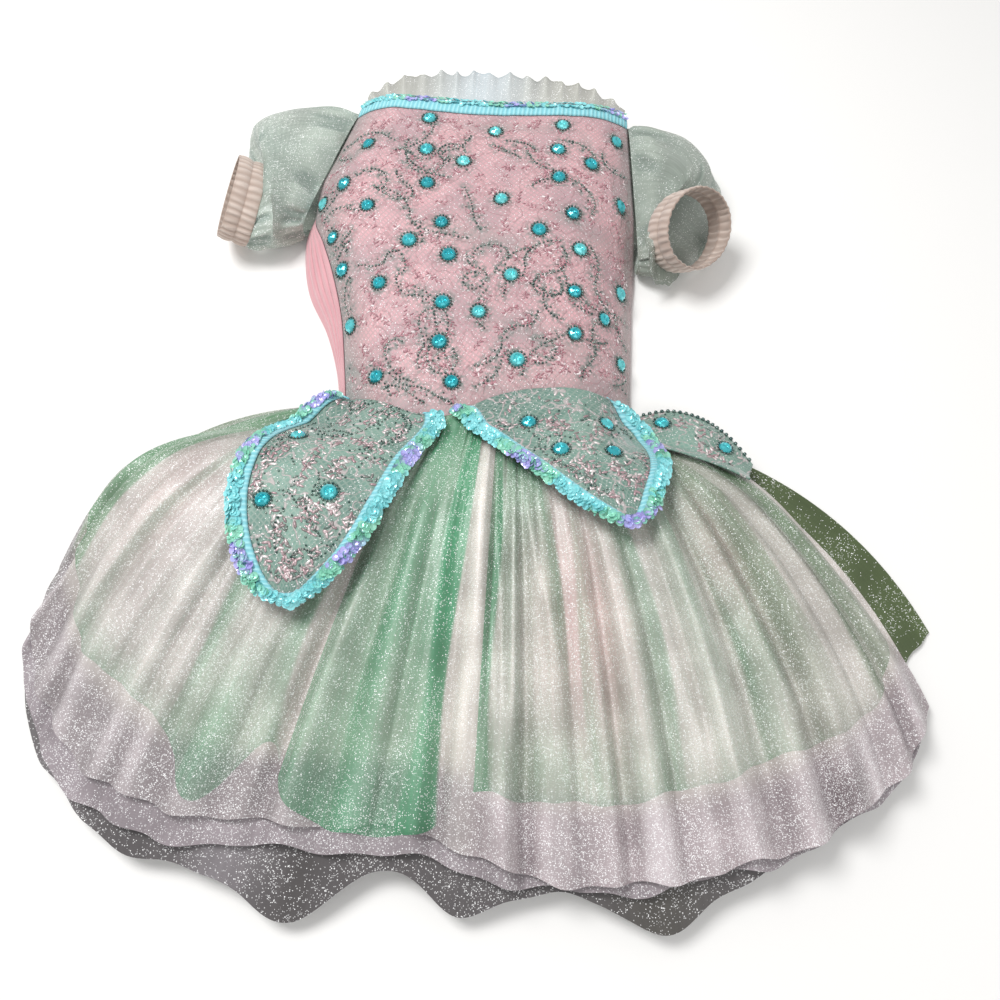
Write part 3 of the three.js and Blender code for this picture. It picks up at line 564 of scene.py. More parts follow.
def gemRings(spots):  # seed beads sewn round each cup
    beads, count = [], sewing["ringBeads"]
    for spot in spots:
        place, facing = spot[:3], spot[3:6]
        side = unit(np.cross(facing, (0, 1, 0)))
        ahead = np.cross(facing, side)
        for turn in 2 * pi * np.arange(count) / count + dice.uniform(0, 1):
            around = side * cos(turn) + ahead * sin(turn)
            at = place + sewing["ring"] * spot[7] * around + 0.5 * facing
            beads.append([*at, *facing, turn, 0.95, dice.uniform(0, 0.6)])
    return beads


def sewnAt(surface, u, v, lift, size, tint):  # a small part's row for scatter; size and tint are ranges
    return [*spotOn(surface, u, v, lift), dice.uniform(0, 6), dice.uniform(*size), dice.uniform(*tint)]


def gemSpots(surface, places):
    return np.array([sewnAt(surface, *place, 0.3, (0.9, 1.04), (0.25, 1)) for place in places])


def within(bounds, place):
    return bounds[0] < place[0] < bounds[1] and bounds[2] < place[1] < bounds[3]


def toNearest(at, size, gems):  # from a place in mm to the nearest gem
    return min(np.hypot(*(at - np.array(gem) * size)) for gem in gems)


def sewnVines(surface, size, count, bounds, gems):  # seed beads in curling lines; size is the surface's mm
    beads = []
    for _ in range(count):
        at = np.array([dice.uniform(*bounds[:2]), dice.uniform(*bounds[2:])]) * size
        heading = dice.uniform(0, 2 * pi)
        curl = dice.choice([-1, 1]) * dice.uniform(0.05, 0.2)
        for step in range(dice.integers(10, 26)):
            if dice.uniform() < 0.1:
                curl = -curl * dice.uniform(0.6, 1.2)
            heading += curl * (1 + 0.05 * step)
            at = at + sewing["beadsApart"] * way(heading)
            if not within(bounds, at / size):
                break
            if toNearest(at, size, gems) < sewing["vineClear"]:
                continue
            beads.append(sewnAt(surface, *(at / size), 0.4, (0.8, 1.05), (0, 1)))
            if step % 4 == 3:  # a loose bead beside the line
                sideways = np.array([-sin(heading), cos(heading)]) * np.sign(curl)
                aside = at + dice.uniform(2, 4) * sideways
                if within(bounds, aside / size):
                    beads.append([*spotOn(surface, *(aside / size), 0.4), 0.0, 0.75, dice.uniform(0, 1)])
    return beads


def sewnSprigs(surface, size, count, bounds, gems, leaf=1.0):  # flowers and leaf sprays in long stitches
    stitches = []
    for _ in range(count):
        middle = np.array([dice.uniform(*bounds[:2]), dice.uniform(*bounds[2:])]) * size
        heading = dice.uniform(0, 2 * pi)
        bloom = dice.uniform() < sewing["bloomShare"]
        for number in range(dice.integers(5, 9)):
            if bloom:
                turn, reach = heading + number * 1.1, sewing["bloomReach"] * leaf
                at = middle + reach * way(turn)
            else:
                turn, apart = heading + (0.7 if number % 2 else -0.7), sewing["stitchApart"] * leaf
                at = middle + (number - 3) * apart * way(heading) + apart * way(turn)
            if within(bounds, at / size) and toNearest(at, size, gems) >= sewing["sprigClear"]:
                here = spotOn(surface, *(at / size), 0.15)
                stitches.append([*here, turn, leaf * dice.uniform(0.7, 1.05), dice.uniform(0, 1)])
    return stitches


bodiceSize = np.array([205.0, 262.0])
cups = gemSpots(bodiceAt, bodiceGems)
inBodice = (0.02, 0.98, 0.03, 0.93)
gemCups = [cups]
gemBeads = gemRings(cups) + sewnVines(bodiceAt, bodiceSize, sewing["vines"], inBodice, bodiceGems)
sprigs = sewnSprigs(bodiceAt, bodiceSize, sewing["sprigs"], inBodice, bodiceGems)
nearVine = np.full(u.shape, np.inf)
for bead in gemBeads:
    nearVine = np.minimum(nearVine, ((bodiceGrid[..., :2] - bead[:2]) ** 2).sum(-1))
# Its darker grey-green: the painted shade above, and a band along the waist
bodiceFront = clothObject("bodiceFront", bodiceGrid, beadedLace, thickness=bodice["wall"], layers={
    "denseAndShade": clip(0.55 * edgeShade + hollows + 0.3 * spot(v, 0.0, 0.08), 0, 0.85),
    "vine": np.exp(-nearVine / 4.2 ** 2)})  # stitches fade out 4 mm from a bead
print("bodice front", len(gemBeads), "beads", len(sprigs), "stitches")


def backColumns():  # the bodice back lies flat, rolls up at one side and meets the front there
    flat, roll, rise = 30, 8, 44  # columns in each stretch
    v = np.linspace(0, 1, 110)
    y = v * bodice["length"]
    left, front, right, _ = bodiceSpan(y)
    radius, low = bodice["roll"], bodice["offTable"]
    columns = []
    for across in np.linspace(0, 1, flat):
        x = mix(right, left + radius, across)
        columns.append(stacked(x, mix(backSeam(x), bodice["backNeck"], v), low))
    side = mix(backSeam(left), bodice["backNeck"], v)
    for turn in np.radians(np.linspace(12, 90, roll)):
        x = left + radius - radius * sin(turn)
        columns.append(stacked(x, side, radius - (radius - low) * cos(turn)))
    seam = np.maximum(front - 0.5, left + 2.2)
    for share in np.linspace(0, 1, rise)[1:]:
        x = mix(left, seam, share)
        wide = np.minimum(1, (seam - left) / 20)
        ribs = sin(share * 4.6 * 2 * pi + 0.9 * sin(y * 0.03))
        folds = bodice["ribbing"] * ribs * sin(pi * share) ** 0.5
        place = mix(side, mix(waistSeam(front), neckline(front), v), share)
        columns.append(stacked(x, place + 0.6, bodiceTop(x, y, 0.0) + wide * folds - 0.2))
    return np.array(columns)


backGrid = backColumns()
bodiceBack = clothObject("bodiceBack", backGrid, pinkKnit, thickness=bodice["backWall"],
                         layers={"denseAndShade": 0.0})
print("bodice back")


# Trims: gathered elastic with rows of sequins, the neck's and the two petals'
trims = {"wall": 0.7, "bulge": 1.6, "rise": 0.9, "apart": 2.8}


def elasticGrid(plain, sewn, count=9):  # from the plain edge to the edge that carries the sequins
    across = np.linspace(0, 1, count)
    grid = plain[:, None] + (sewn - plain)[:, None] * across[None, :, None]
    grid[..., 2] += trims["rise"] + trims["bulge"] * sin(pi * across) ** 0.6
    wobble = np.arange(len(plain))[:, None]
    grid[..., 2] += 0.25 * sin(wobble * 1.3) * sin(pi * across)
    return grid


def sewnSequins(grid, rows, tintShift):  # grid as above; sequins stand a little on edge, in uneven rows
    middle = grid[:, grid.shape[1] // 2]
    length = np.concatenate([[0], np.cumsum(np.linalg.norm(np.diff(middle, axis=0), axis=1))])
    spots = []
    for across in rows:
        for at in np.arange(1.5, length[-1] - 1, trims["apart"]) + dice.uniform(-0.4, 0.4):
            at = at + dice.uniform(-0.7, 0.7)
            share = across + dice.uniform(-0.07, 0.07)
            column = clip(np.interp(at, length, np.arange(len(length))), 0.01, len(length) - 1.01)
            cell, part = int(column), column % 1
            line = mix(grid[cell], grid[cell + 1], part)
            place = line[0] + (line[-1] - line[0]) * share
            row = clip(share, 0, 1) * (grid.shape[1] - 1)
            low = min(int(row), grid.shape[1] - 2)
            place[2] = mix(line[low][2], line[low + 1][2], row - low) + 0.5
            tip = unit(line[-1] - line[0]) * (0.9 * share - 0.25)
            facing = unit(np.array([0, 0, 1.0]) + tip + dice.normal(0, 0.28, 3))
            patch = 0.5 + 0.5 * sin(at * 0.085 + tintShift) + dice.normal(0, 0.12)
            spots.append([*place, *facing, dice.uniform(0, 6), dice.uniform(0.75, 1.0), clip(patch, 0, 1)])
    return spots


def neckEdge(v):
    return bodiceAt(np.linspace(0.0, 1.0, 170), np.full(170, v))


neckGrid = elasticGrid(neckEdge(bodice["trimStart"]), neckEdge(0.998))
neckTrim = clothObject("neckTrim", neckGrid, aquaElastic, thickness=trims["wall"])
neckSequins = scatter("neckSequins", "sequin", sewnSequins(neckGrid, (0.6, 0.93), 3.4), sequinFilm, 0.92)
print("neck trim")

ruffles = {"waves": 15, "rise": 3.0, "wave": 2.4, "backWaves": 9, "backDepth": 17, "backRise": 1.3}
ruffleDepth = readTable("x depth", [
    [-106, 2.5], [-90, 10], [-61, 20], [-7, 26], [52, 17], [80, 7], [93, 2.5]])
u, v = spread(420, 14)
x = mix(-104, 91, u)
turns = u * ruffles["waves"] * 2 * pi
wave = (0.75 + 0.25 * sin(u * 23)) * sin(turns + 0.7 * sin(u * 17)) + 0.12 * sin(2.3 * turns + 1)
frontRuffleGrid = np.stack([
    x + 0.8 * v * cos(turns), neckline(x) - 0.5 + v * ruffleDepth(x) * (1 + 0.06 * sin(turns * 0.5)),
    bodiceTop(x, np.full_like(x, bodice["length"])) + 0.2
    + v * (ruffles["rise"] + ruffles["wave"] * wave)], -1)
# Painted shade in the troughs of the ruffle's waves, deeper towards its outer edge
neckRuffleFront = clothObject("neckRuffleFront", frontRuffleGrid, ruffleOrganza, layers={
    "tone": tinted("a3a397", ("6c6b60", clip(0.4 - 0.45 * wave, 0, 1) * (0.4 + 0.6 * v)),
                   ("bccbd4", 0.75 * spot(u, 0.45, 0.17))),
    "veil": 0.74 + 0.2 * (v > 0.93), "glitter": 0.0})
u, v = spread(240, 8)
x = mix(-98, 86, u)
backRuffleGrid = np.stack([
    x, bodice["backNeck"] + 0.3 + v * ruffles["backDepth"] * sin(pi * (0.1 + 0.8 * u)),
    0.8 + v * ruffles["backRise"] * (1 + sin(u * ruffles["backWaves"] * 2 * pi + 1))], -1)
neckRuffleBack = clothObject("neckRuffleBack", backRuffleGrid, ruffleOrganza, layers={
    "tone": tinted("b4c4cd"), "veil": 0.95, "glitter": 0.0})
print("ruffles")


# Sleeves and cuffs: loops round each, from the armhole to the cuff's opening
sleeves = {"gathers": 9, "gather": 1.4, "wrinkle": 1.2, "cuffPleats": 34, "cuffWall": 1.1}
cuffs = {  # x y z long high turn tilt square, then the cuff's width
    "left": ([-187, 156, 32, 32, 20, 180, 30, 2], 20), "right": ([142, 143, 43, 29, 25, -38, 50, 2], 22),
}
sleeveLoops = {  # stage x y z long high turn tilt square
    "left": [[0, -121.8, 199, 11.5, 57, 10, 166, 0, 4], [1, -139, 194, 17, 61, 15.5, 174, 4, 3],
             [2, -158, 184, 21, 58, 19.5, 186, 14, 2.8], [3, -171, 173, 23, 50, 21, 196, 26, 2.6]],
    "right": [[0, 99.3, 192, 11.5, 64, 10, 4.3, 0, 4], [1, 114, 187, 17, 63, 15.5, 0, 6, 3],
              [2, 128, 176, 21.5, 59, 20, -12, 20, 2.7], [3, 136, 160, 24, 50, 22.5, -26, 38, 2.6]],
}


def loopAt(row, angle, extra=0.0):
    x, y, z, long, high, turn, tilt, square = row
    turn, tilt = np.radians(turn), np.radians(tilt)
    along = stacked(sin(turn), -cos(turn), 0)
    up = stacked(-cos(turn) * sin(tilt), -sin(turn) * sin(tilt), cos(tilt))
    wide = (long + extra) * np.sign(cos(angle)) * np.abs(cos(angle)) ** (2 / square)
    tall = (high + extra) * np.sign(sin(angle)) * np.abs(sin(angle)) ** (2 / square)
    middle = stacked(x, y, z)
    return middle + along * wide[..., None] + up * tall[..., None]


def cuffRow(side, share):
    (x, y, z, *shape), width = cuffs[side]
    turn, tilt = np.radians(shape[2:4])
    back = (share - 1) * width
    level = back * cos(tilt)
    return [x + level * cos(turn), y + level * sin(turn), z + back * sin(tilt), *shape]


def sleeveGrid(side):
    end = cuffRow(side, 0.02)
    end[3:5] = [end[3] - 0.3, end[4] - 0.3]  # just inside the cuff
    rows = readTable("stage x y z long high turn tilt square", [*sleeveLoops[side], [4, *end]])
    angle, stage = np.meshgrid(np.linspace(0, 2 * pi, 181)[:-1], np.linspace(0, 4, 60), indexing="ij")
    nearEnds = ease(np.abs(stage - 2) - 0.3) * ease((4 - stage) * 4) * ease(stage * 4)
    waves = cos(angle * sleeves["gathers"]) + 0.5 * cos(angle * 23 + stage)
    gathers = sleeves["gather"] * nearEnds * waves
    long = sin(angle * 5 + 1.7 * stage) * sin(angle * 2 - 0.8 * stage + 1)
    wrinkles = sleeves["wrinkle"] * long * ease(stage) * ease(4 - stage)
    grid = loopAt(rows(stage), angle, gathers + wrinkles)
    grid[..., 2] = np.maximum(grid[..., 2], 0.25)
    # Darker and less sheer in the troughs of the gathers and wrinkles, partly more cloth and partly painted
    # shade, and where the cloth gathers at the armhole and the cuff
    denseAndShade = clip(0.28 - 0.5 * gathers - 0.25 * wrinkles, 0, 1)
    denseAndShade += 0.3 * ease(1 - stage) + 0.35 * ease(stage - 3)
    return grid, clip(denseAndShade, 0, 0.85), ease(1.6 - stage)


def cuffGrid(side):
    angle, share = np.meshgrid(np.linspace(0, 2 * pi, 273)[:-1], np.linspace(0, 1, 34), indexing="ij")
    band = (share * 2) % 1
    plump = 1.7 * sin(pi * np.where(share == 1, 0, band)) ** 0.6
    slip = 0.35 * sin(angle * 7 + 3 * np.floor(share * 2))
    pleat = 0.5 + 0.5 * cos(angle * sleeves["cuffPleats"] + slip + 0.8 * sin(angle * 5 + share * 3))
    pleat = pleat * (0.75 + 0.25 * sin(angle * 11 + 2))
    extra = 0.15 + plump * (0.2 + 0.8 * pleat ** 0.7)
    frill = ease((share - 0.93) / 0.07) * 0.8 * pleat
    loops = [np.broadcast_to(part, share.shape) for part in cuffRow(side, share)]
    grid = loopAt(loops, angle, extra + frill)
    # Painted shade: darker in the troughs of the pleats and at the edges of each puff
    return grid, clip(1.05 - pleat - 0.2 * plump, 0, 1) + 0.4 * (band < 0.06)


sleeveObjects, cuffObjects = {}, {}
for side, tone in (("left", 0.05), ("right", 0.3)):
    grid, denseAndShade, inner = sleeveGrid(side)
    darker = tone + (0.35 * ease((170 - grid[..., 1]) / 60) if side == "right" else 0)
    sleeveObjects[side] = clothObject(side + "Sleeve", grid, sageOrganza, wrapped=True, layers={
        "tone": tinted("bac6bb", ("83928a", denseAndShade), ("80857a", darker)), "glitter": 0.0,
        "veil": clip(0.6 + 0.45 * denseAndShade + 0.4 * inner, 0, 1)})
    grid, denseAndShade = cuffGrid(side)
    cuffObjects[side] = clothObject(side + "Cuff", grid, peachSmocking, wrapped=True,
                                    thickness=sleeves["cuffWall"], layers={"denseAndShade": denseAndShade})
print("sleeves")


# Skirt: rays fan out from the waist to the hem, and every layer shares its folds
skirt = {
    "edge": 4.9, "sideRise": 4.5, "loose": 3.4, "step": 1.75, "fine": 1.5, "rows": 72, "lastPlace": 12.0,
    "placeWide": 30, "long": 250,
}
skirtRays = readTable("place waistX hemX hemY bow", [
    [0, -92, -246, -112, 34], [1, -84, -242, -165, 28], [2, -73, -216, -210, 20], [3, -56, -174, -240, 12],
    [4, -36, -122, -250, 6], [5, -14, -62, -250, 2], [6, 6, -6, -250, 0], [7, 26, 46, -266, -1],
    [8, 44, 98, -268, -4], [9, 61, 150, -257, -9], [10, 76, 200, -239, -15], [11, 90, 246, -206, -22],
    [12, 101, 278, -162, -30]])
skirtSpan = readTable("y left right crown", [
    [-300, -250, 284, 18], [-220, -250, 284, 30], [-162, -250, 281, 41], [-112, -247, 252, 49],
    [-80, -243, 229, 52], [-50, -232, 208, 50], [-28, -204, 192, 47], [-12, -157, 176, 44],
    [-2, -124, 150, 42], [12, -93, 103, 40]])
skirtFolds = [  # across the skirt: width, height at the hem, and how far the fold leans (in widths)
    [26, 5, 0.1], [30, 7, 0.16], [24, 5, -0.1], [28, 8, 0.14], [22, 5, -0.12], [26, 6, 0.1], [24, 7, 0.16],
    [20, 5, -0.1], [24, 8, 0.12], [22, 6, 0.1], [26, 7, -0.14], [20, 5, 0.1], [22, 12, -0.2], [26, 7, 0.12],
    [22, 6, -0.14], [24, 9, 0.18], [20, 5, -0.1], [26, 8, 0.16], [24, 6, -0.12], [28, 9, 0.18], [22, 6, -0.1],
    [26, 8, 0.12]]
foldEdges = np.concatenate([[0], np.cumsum([row[0] for row in skirtFolds])])
foldEdges = foldEdges * skirt["lastPlace"] / foldEdges[-1]
skirtCreases = [  # the long creases laid in, from place and share (of 250) to place and share
    [6.2, 50, 6.75, 250, 5.5, 4.0], [6.5, 40, 7.05, 250, 3.4, -3.6], [5.0, 60, 4.95, 250, 4.5, -2.6],
    [5.35, 70, 5.45, 250, 4.0, 2.8], [5.9, 60, 6.1, 250, 4.0, -3.0], [2.6, 70, 3.0, 250, 6.0, 3.4],
    [3.15, 60, 3.4, 250, 4.0, -3.4], [1.2, 60, 1.6, 230, 6.0, 3.0], [2.0, 80, 2.3, 250, 4.0, -2.8],
    [8.25, 90, 8.15, 250, 3.5, -3.4], [8.55, 70, 8.5, 250, 4.5, 3.0], [9.35, 70, 9.2, 250, 4.5, 3.6],
    [9.75, 60, 9.65, 245, 3.0, -3.6], [10.8, 80, 10.9, 250, 5.0, 3.4], [10.35, 70, 10.3, 250, 3.6, -3.0],
    [7.6, 110, 7.55, 240, 5.0, 2.6], [4.65, 80, 4.4, 250, 4.0, -3.2], [4.1, 90, 3.85, 250, 5.0, 2.6],
    [0.5, 100, 0.7, 240, 4.0, -2.4], [11.5, 90, 11.4, 250, 4.0, -2.8], [7.1, 60, 7.5, 150, 3.5, 2.4],
    [7.35, 50, 7.3, 190, 3.0, -2.2], [9.9, 150, 10.4, 215, 4.0, 2.2], [8.9, 165, 9.5, 235, 4.5, 2.0],
    [1.0, 150, 1.9, 215, 5.0, 1.8], [2.4, 140, 2.2, 225, 4.5, 2.0]]
skirtCreases = [
    [at * skirt["placeWide"], start, on * skirt["placeWide"], *rest] for at, start, on, *rest in skirtCreases]


def rayAt(place, share, seam=waistSeam):
    waistX, hemX, hemY, bow = skirtRays(place)
    startY = seam(waistX) - 0.35
    wayX, wayY = hemX - waistX, hemY - startY
    far = np.hypot(wayX, wayY)
    aside = 4 * bow * share * (1 - share) / far
    return waistX + wayX * share + wayY * aside, startY + wayY * share - wayX * aside


def skirtBase(x, y):
    left, right, crown = skirtSpan(y)
    spreadTop = skirt["edge"] + (crown - skirt["edge"]) * puff((x - left) / (right - left))
    seam = np.maximum(skirt["edge"], bodiceTop(clip(x, -90, 102), np.zeros_like(x), 0.0))
    return mix(seam, spreadTop, ease((waistSeam(x) - y) / 65))


def foldShape(place, share):  # main folds, the long creases, and the waist's fine gathers
    fold = clip(np.searchsorted(foldEdges, place, side="right") - 1, 0, len(skirtFolds) - 1)
    _, heights, leans = np.array(skirtFolds).T
    t = (place - foldEdges[fold]) / (foldEdges[fold + 1] - foldEdges[fold])
    leaning = leans[fold] * (0.6 + 0.4 * sin(share * 5 + fold * 2.1))
    t = clip(t + 1.4 * leaning * sin(pi * t) ** 2, 0, 1)
    growing = ease(share / 0.8)
    main = heights[fold] * sin(pi * t) ** 1.25 * growing
    creases = creaseHeight(place * skirt["placeWide"], share * skirt["long"], skirtCreases)
    creases = creases * ease(share / 0.3)
    phase = place * 6.4 + 1.1 * sin(place * 1.9) + 0.5 * sin(place * 5.3 + share * 2)
    uneven = 0.6 + 0.4 * sin(place * 2.3 + 1) * sin(place * 0.9)
    fine = sin(phase * pi) * (0.8 * np.exp(-share / 0.2) + 0.12 * uneven)
    finer = sin(phase * 2.57 * pi + 2) * (0.4 * np.exp(-share / 0.14) + 0.05 * uneven)
    ripple = 0.8 * sin(place * 4.7 + share * 3.5) * sin(place * 1.7 - share * 5) * ease(share / 0.5)
    flutter = 1.2 * sin(place * 8.3 + 2 * sin(place * 1.3)) * ease((share - 0.82) / 0.16)
    fromSide = ease(np.minimum(place, skirt["lastPlace"] - place) / 0.5)
    broad = (main + creases) * fromSide
    return broad + (skirt["fine"] * (fine + finer) + ripple + flutter) * ease(share / 0.06) * fromSide, broad


def skirtGrid(low, high, columns, reach, near, loose, folded, least=0.0):
    place, v = spread(columns, skirt["rows"], low, high)
    share = v * reach(place)
    x, y = rayAt(place, share)
    index = np.interp(place, foldEdges, np.arange(len(foldEdges)) * 2.0)
    fromSide = np.minimum(index, 2 * len(skirtFolds) - index)
    floor = skirt["edge"] + skirt["sideRise"] * np.minimum(fromSide, 2.5)
    shape, broad = foldShape(place, share)
    z = np.maximum(floor, skirtBase(x, y)) + folded * shape + mix(near, loose, ease(share / 0.2))
    across = np.hypot(np.gradient(x, axis=0), np.gradient(y, axis=0))
    steep = clip(np.abs(np.gradient(broad, axis=0) / across) / 1.1, 0, 1)
    grid = np.stack([x, y, np.maximum(z, least)], -1)
    return grid, place, share, broad, steep


def unevenly(place):  # some folds catch the light and some hardly show
    return 0.25 + 0.75 * ease(0.5 + 0.45 * sin(place * 1.9 + 0.7) + 0.35 * sin(place * 4.3 + 2))


def wavy(place, rate, size, seed):
    return size * (sin(place * rate + seed) + 0.6 * sin(place * rate * 2.3 + 2 * seed))


netDrop = readTable("place drop", [
    [0, 0.02], [1, 0.05], [3, 0.06], [5, 0.05], [6, 0.05], [7, 0.02], [9, 0.01], [12, 0.01]])
smokeDrop = readTable("place drop", [
    [0, 0.01], [1, 0.06], [3, 0.09], [4.2, 0.12], [5, 0.19], [5.6, 0.09], [6.4, 0.12], [7, 0.04], [7.8, 0.03],
    [8.4, 0.08], [9, 0.05], [10, 0], [12, -0.02]])

grid, place, share, broad, steep = skirtGrid(
    0, skirt["lastPlace"], 520, lambda p: 1 + wavy(p, 5.1, 0.006, 1), 0, 0, 1)
# Masks for painted shade in the folds' troughs and on their steep sides, and for painted highlight on their
# ridges
low = (1 - ease(broad / 6)) * unevenly(place)
ridge = ease(broad / 7 - 0.3) * unevenly(place + 1.5)
steep = steep * unevenly(place)
rightHalf = ease((place - 6.2) / 0.5)
hemBand = ease((share - 0.83) / 0.07)
# Painted light in its tone: the left side is darkened to even out the lamp's light there, the troughs and
# steep sides of the folds carry painted shade, and the ridges carry painted highlight; the pinks, greens,
# lilac and mauve are the cloth's own
skirtOrganzaFront = clothObject("skirtOrganzaFront", grid, ivoryFolded, layers={
    "tone": tinted("cbc4be", ("b7b0ad", 0.7 * ease((4.6 - place) / 2)), ("a39c96", 0.34 * low),
                   ("8b847e", 0.42 * steep), ("e3ddd6", 0.7 * ridge * mix(0.5, 1.0, rightHalf)),
                   ("e6dfd6", 0.55 * spot(place, 6.3, 0.13)), ("728a70", 0.8 * ease((0.6 - place) / 0.25)),
                   ("d2b0af", 0.75 * spot(place, 7.9, 0.55) * spot(share, 0.5, 0.22)),
                   ("cfafaf", 0.6 * spot(place, 10.2, 0.5) * spot(share, 0.42, 0.2)),
                   ("c9b0ad", 0.4 * spot(place, 1.6, 0.7) * spot(share, 0.45, 0.2)),
                   ("a89a9f", 0.85 * hemBand * rightHalf), ("8c8387", 0.8 * hemBand * (1 - rightHalf)),
                   # painted highlight on the hem's ridges and painted shade in its troughs; painted shade
                   # deep in one fold at the right, with painted highlight streaks beside it
                   ("dbd1d4", 0.6 * hemBand * ridge), ("7c7276", 0.5 * hemBand * low),
                   ("6d6265", 0.8 * spot(place, 10.45, 0.2) * spot(share, 0.96, 0.06)),
                   ("ebe2e4", 0.45 * spot(place, 10.8, 0.1) * ease((share - 0.86) / 0.05)),
                   ("ebe2e4", 0.5 * spot(place, 10.15, 0.08) * spot(share, 0.94, 0.07))),
    "glitter": 0.07 + 0.1 * low + hemBand * (mix(0.17, 0.28, rightHalf) + 0.3 * spot(place, 10.5, 0.4))})

grid, place, share, broad, steep = skirtGrid(
    0.27, 11.73, 340, lambda p: 1 + netDrop(p) + wavy(p, 4.3, 0.007, 4), -skirt["step"],
    -skirt["loose"], 0.6, skirt["edge"] + 3.7 * skirt["step"])
# Painted shade on the steep sides of its folds
skirtNetFront = clothObject("skirtNetFront", grid, mauveNet, layers={
    "tone": tinted("a59a9f", ("7d7478", 0.6 * steep), ("9d9298", 0.5 * spot(place, 3, 1.5)),
                   ("8e868a", 0.5 * ease((share - 0.97) / 0.05))),
    "glitter": 0.1})

grid, place, share, broad, steep = skirtGrid(
    1.03, 10.97, 300, lambda p: 1 + smokeDrop(p) + wavy(p, 3.7, 0.006, 2), -3.5 * skirt["step"],
    -2 * skirt["loose"], 0.12, skirt["edge"] + 2 * skirt["step"])
skirtSmokeFront = clothObject("skirtSmokeFront", grid, smokeNet, layers={
    "tone": tinted("8d8787", ("565253", 0.95 * ease((share - 0.86) / 0.14)),
                   ("8f898d", 0.75 * spot(place, 4.25, 0.3)), ("4b4746", 0.6 * spot(place, 4.95, 0.14)),
                   ("7d777a", 0.6 * spot(place, 2.2, 0.5)), ("4e4b44", 0.7 * spot(place, 8.4, 0.5))),
    "glitter": 0.0})
print("skirt fronts")


def backGridAt(inset, reach, top, fling=False):  # a flat half; the overskirt's is flung out at one side
    place, v = spread(200, 40, inset, skirt["lastPlace"] - inset)
    x, y = rayAt(place, v * reach(place), backSeam)
    z = np.full_like(x, float(top))
    if fling:
        out = ease((place - 10.4) / 1.6) * v
        x, y = x + 8 * out, y + 45 * out
        z = z + out * (1.1 + 1.1 * sin(place * 9 + 3 * v)) + 0.2 * sin(place * 7) * v
    return np.stack([x, y, z], -1), place, v


backObjects = {}
for name, inset, top, cloth, colour in (("skirtOrganzaBack", 0.0, 2.9, ivoryFolded, "c3bab1"),
                                        ("skirtNetBack", 0.3, 4.5, mauveNet, "a89da1"),
                                        ("skirtSmokeBack", 0.6, 6.2, smokeNet, "6a6769")):
    grid, place, v = backGridAt(inset, lambda p: 0.985 + wavy(p, 5, 0.004, inset * 9), top)
    backObjects[name] = clothObject(name, grid, cloth, layers={"tone": tinted(colour), "glitter": 0.0})
overskirtReach = readTable("place reach", [
    [0, 0.97], [2, 0.9], [5, 0.86], [8, 0.86], [10, 0.88], [11.2, 0.95], [12, 0.99]])
grid, place, v = backGridAt(0.0, lambda p: overskirtReach(p) + wavy(p, 9, 0.004, 1), 0.5, True)
# Painted shade: the flung-out right of the back darkens to olive, with darker stripes along its waves
towardsRight = ease((place - 8.5) / 1.5)
overskirtBack = clothObject("overskirtBack", grid, mintFolded, layers={
    "tone": tinted("7fa889", ("566540", towardsRight),
                   ("434f34", 0.45 * (0.5 + 0.5 * sin(place * 9 + 3 * v)) * towardsRight)),
    "glitter": -0.12})
print("skirt backs")

# Mint drapes over the outer skirt: strips where the overskirt bunches, and a thin veil between them
drapes = {  # from, to, columns, thinnest, where its veil gives out, then its denser strips: place, share,
    # width in place, length in share, strength, and the side on which a fold ends it crisply (-1 left,
    # 1 right, 0 neither)
    "drapeCentre": (4.55, 6.45, 220, 0.55, 6.08, [
        [4.7, 0.3, 0.3, 0.6, -0.2, 0], [5.25, 0.6, 0.35, 0.5, 0.2, -1], [5.95, 0.5, 0.35, 0.9, 0.35, -1],
        [5.5, 0.75, 0.14, 0.35, -0.2, 0]]),
    "drapeLeft": (0.35, 4.5, 260, 0.0, 5.0, [
        [1.2, 0.0, 1.4, 0.2, 0.75, 0], [0.5, 0.45, 1.2, 0.5, 0.82, 1], [3.3, 0.5, 0.16, 0.35, 0.45, -1],
        [3.85, 0.86, 0.3, 0.2, 0.5, 0], [4.3, 0.45, 0.18, 0.45, 0.5, 1], [3.0, 0.1, 0.5, 0.18, 0.4, 0],
        [2.2, 0.84, 1.4, 0.06, 0.16, 0], [3.7, 0.1, 0.5, 0.25, 0.45, 0], [1.75, 0.4, 0.12, 0.5, 0.2, -1]]),
    "drapeRight": (6.5, 11.75, 320, 0.04, 12.5, [
        [6.85, 0.0, 0.35, 0.4, 0.55, 0], [7.4, 0.1, 0.3, 0.22, 0.5, 1], [7.55, 0.42, 0.14, 0.2, 0.4, 1],
        [8.75, 0.25, 0.22, 0.75, 0.42, 1], [6.6, 0.5, 0.16, 0.6, 0.6, 1], [9.0, 0.0, 1.4, 0.1, 0.4, 0],
        [10.3, 0.05, 0.9, 0.34, 0.6, 0], [11.4, 0.35, 0.45, 0.6, 0.62, -1], [10.6, 0.5, 0.3, 0.25, 0.42, 1],
        [9.45, 0.4, 0.2, 0.3, 0.22, 1], [9.75, 0.62, 0.14, 0.3, 0.14, 1],
        [7.2, 0.8, 0.9, 0.08, 0.2, 0], [9.9, 0.66, 0.4, 0.16, 0.25, -1], [7.9, 0.55, 0.12, 0.3, 0.25, -1]]),
}
drapeReach = readTable("place reach", [
    [0, 0.78], [1, 0.8], [2, 0.84], [3, 0.83], [3.3, 0.86], [3.9, 0.97], [4.4, 0.84], [4.6, 0.93],
    [5.1, 1.0], [5.6, 1.02], [6.1, 0.98], [6.4, 0.9], [6.9, 0.87], [8, 0.86], [9, 0.85], [10, 0.84],
    [11, 0.86], [12, 0.8]])


def drapeEnd(place):
    return drapeReach(place) + wavy(place, 6, 0.004, 3)


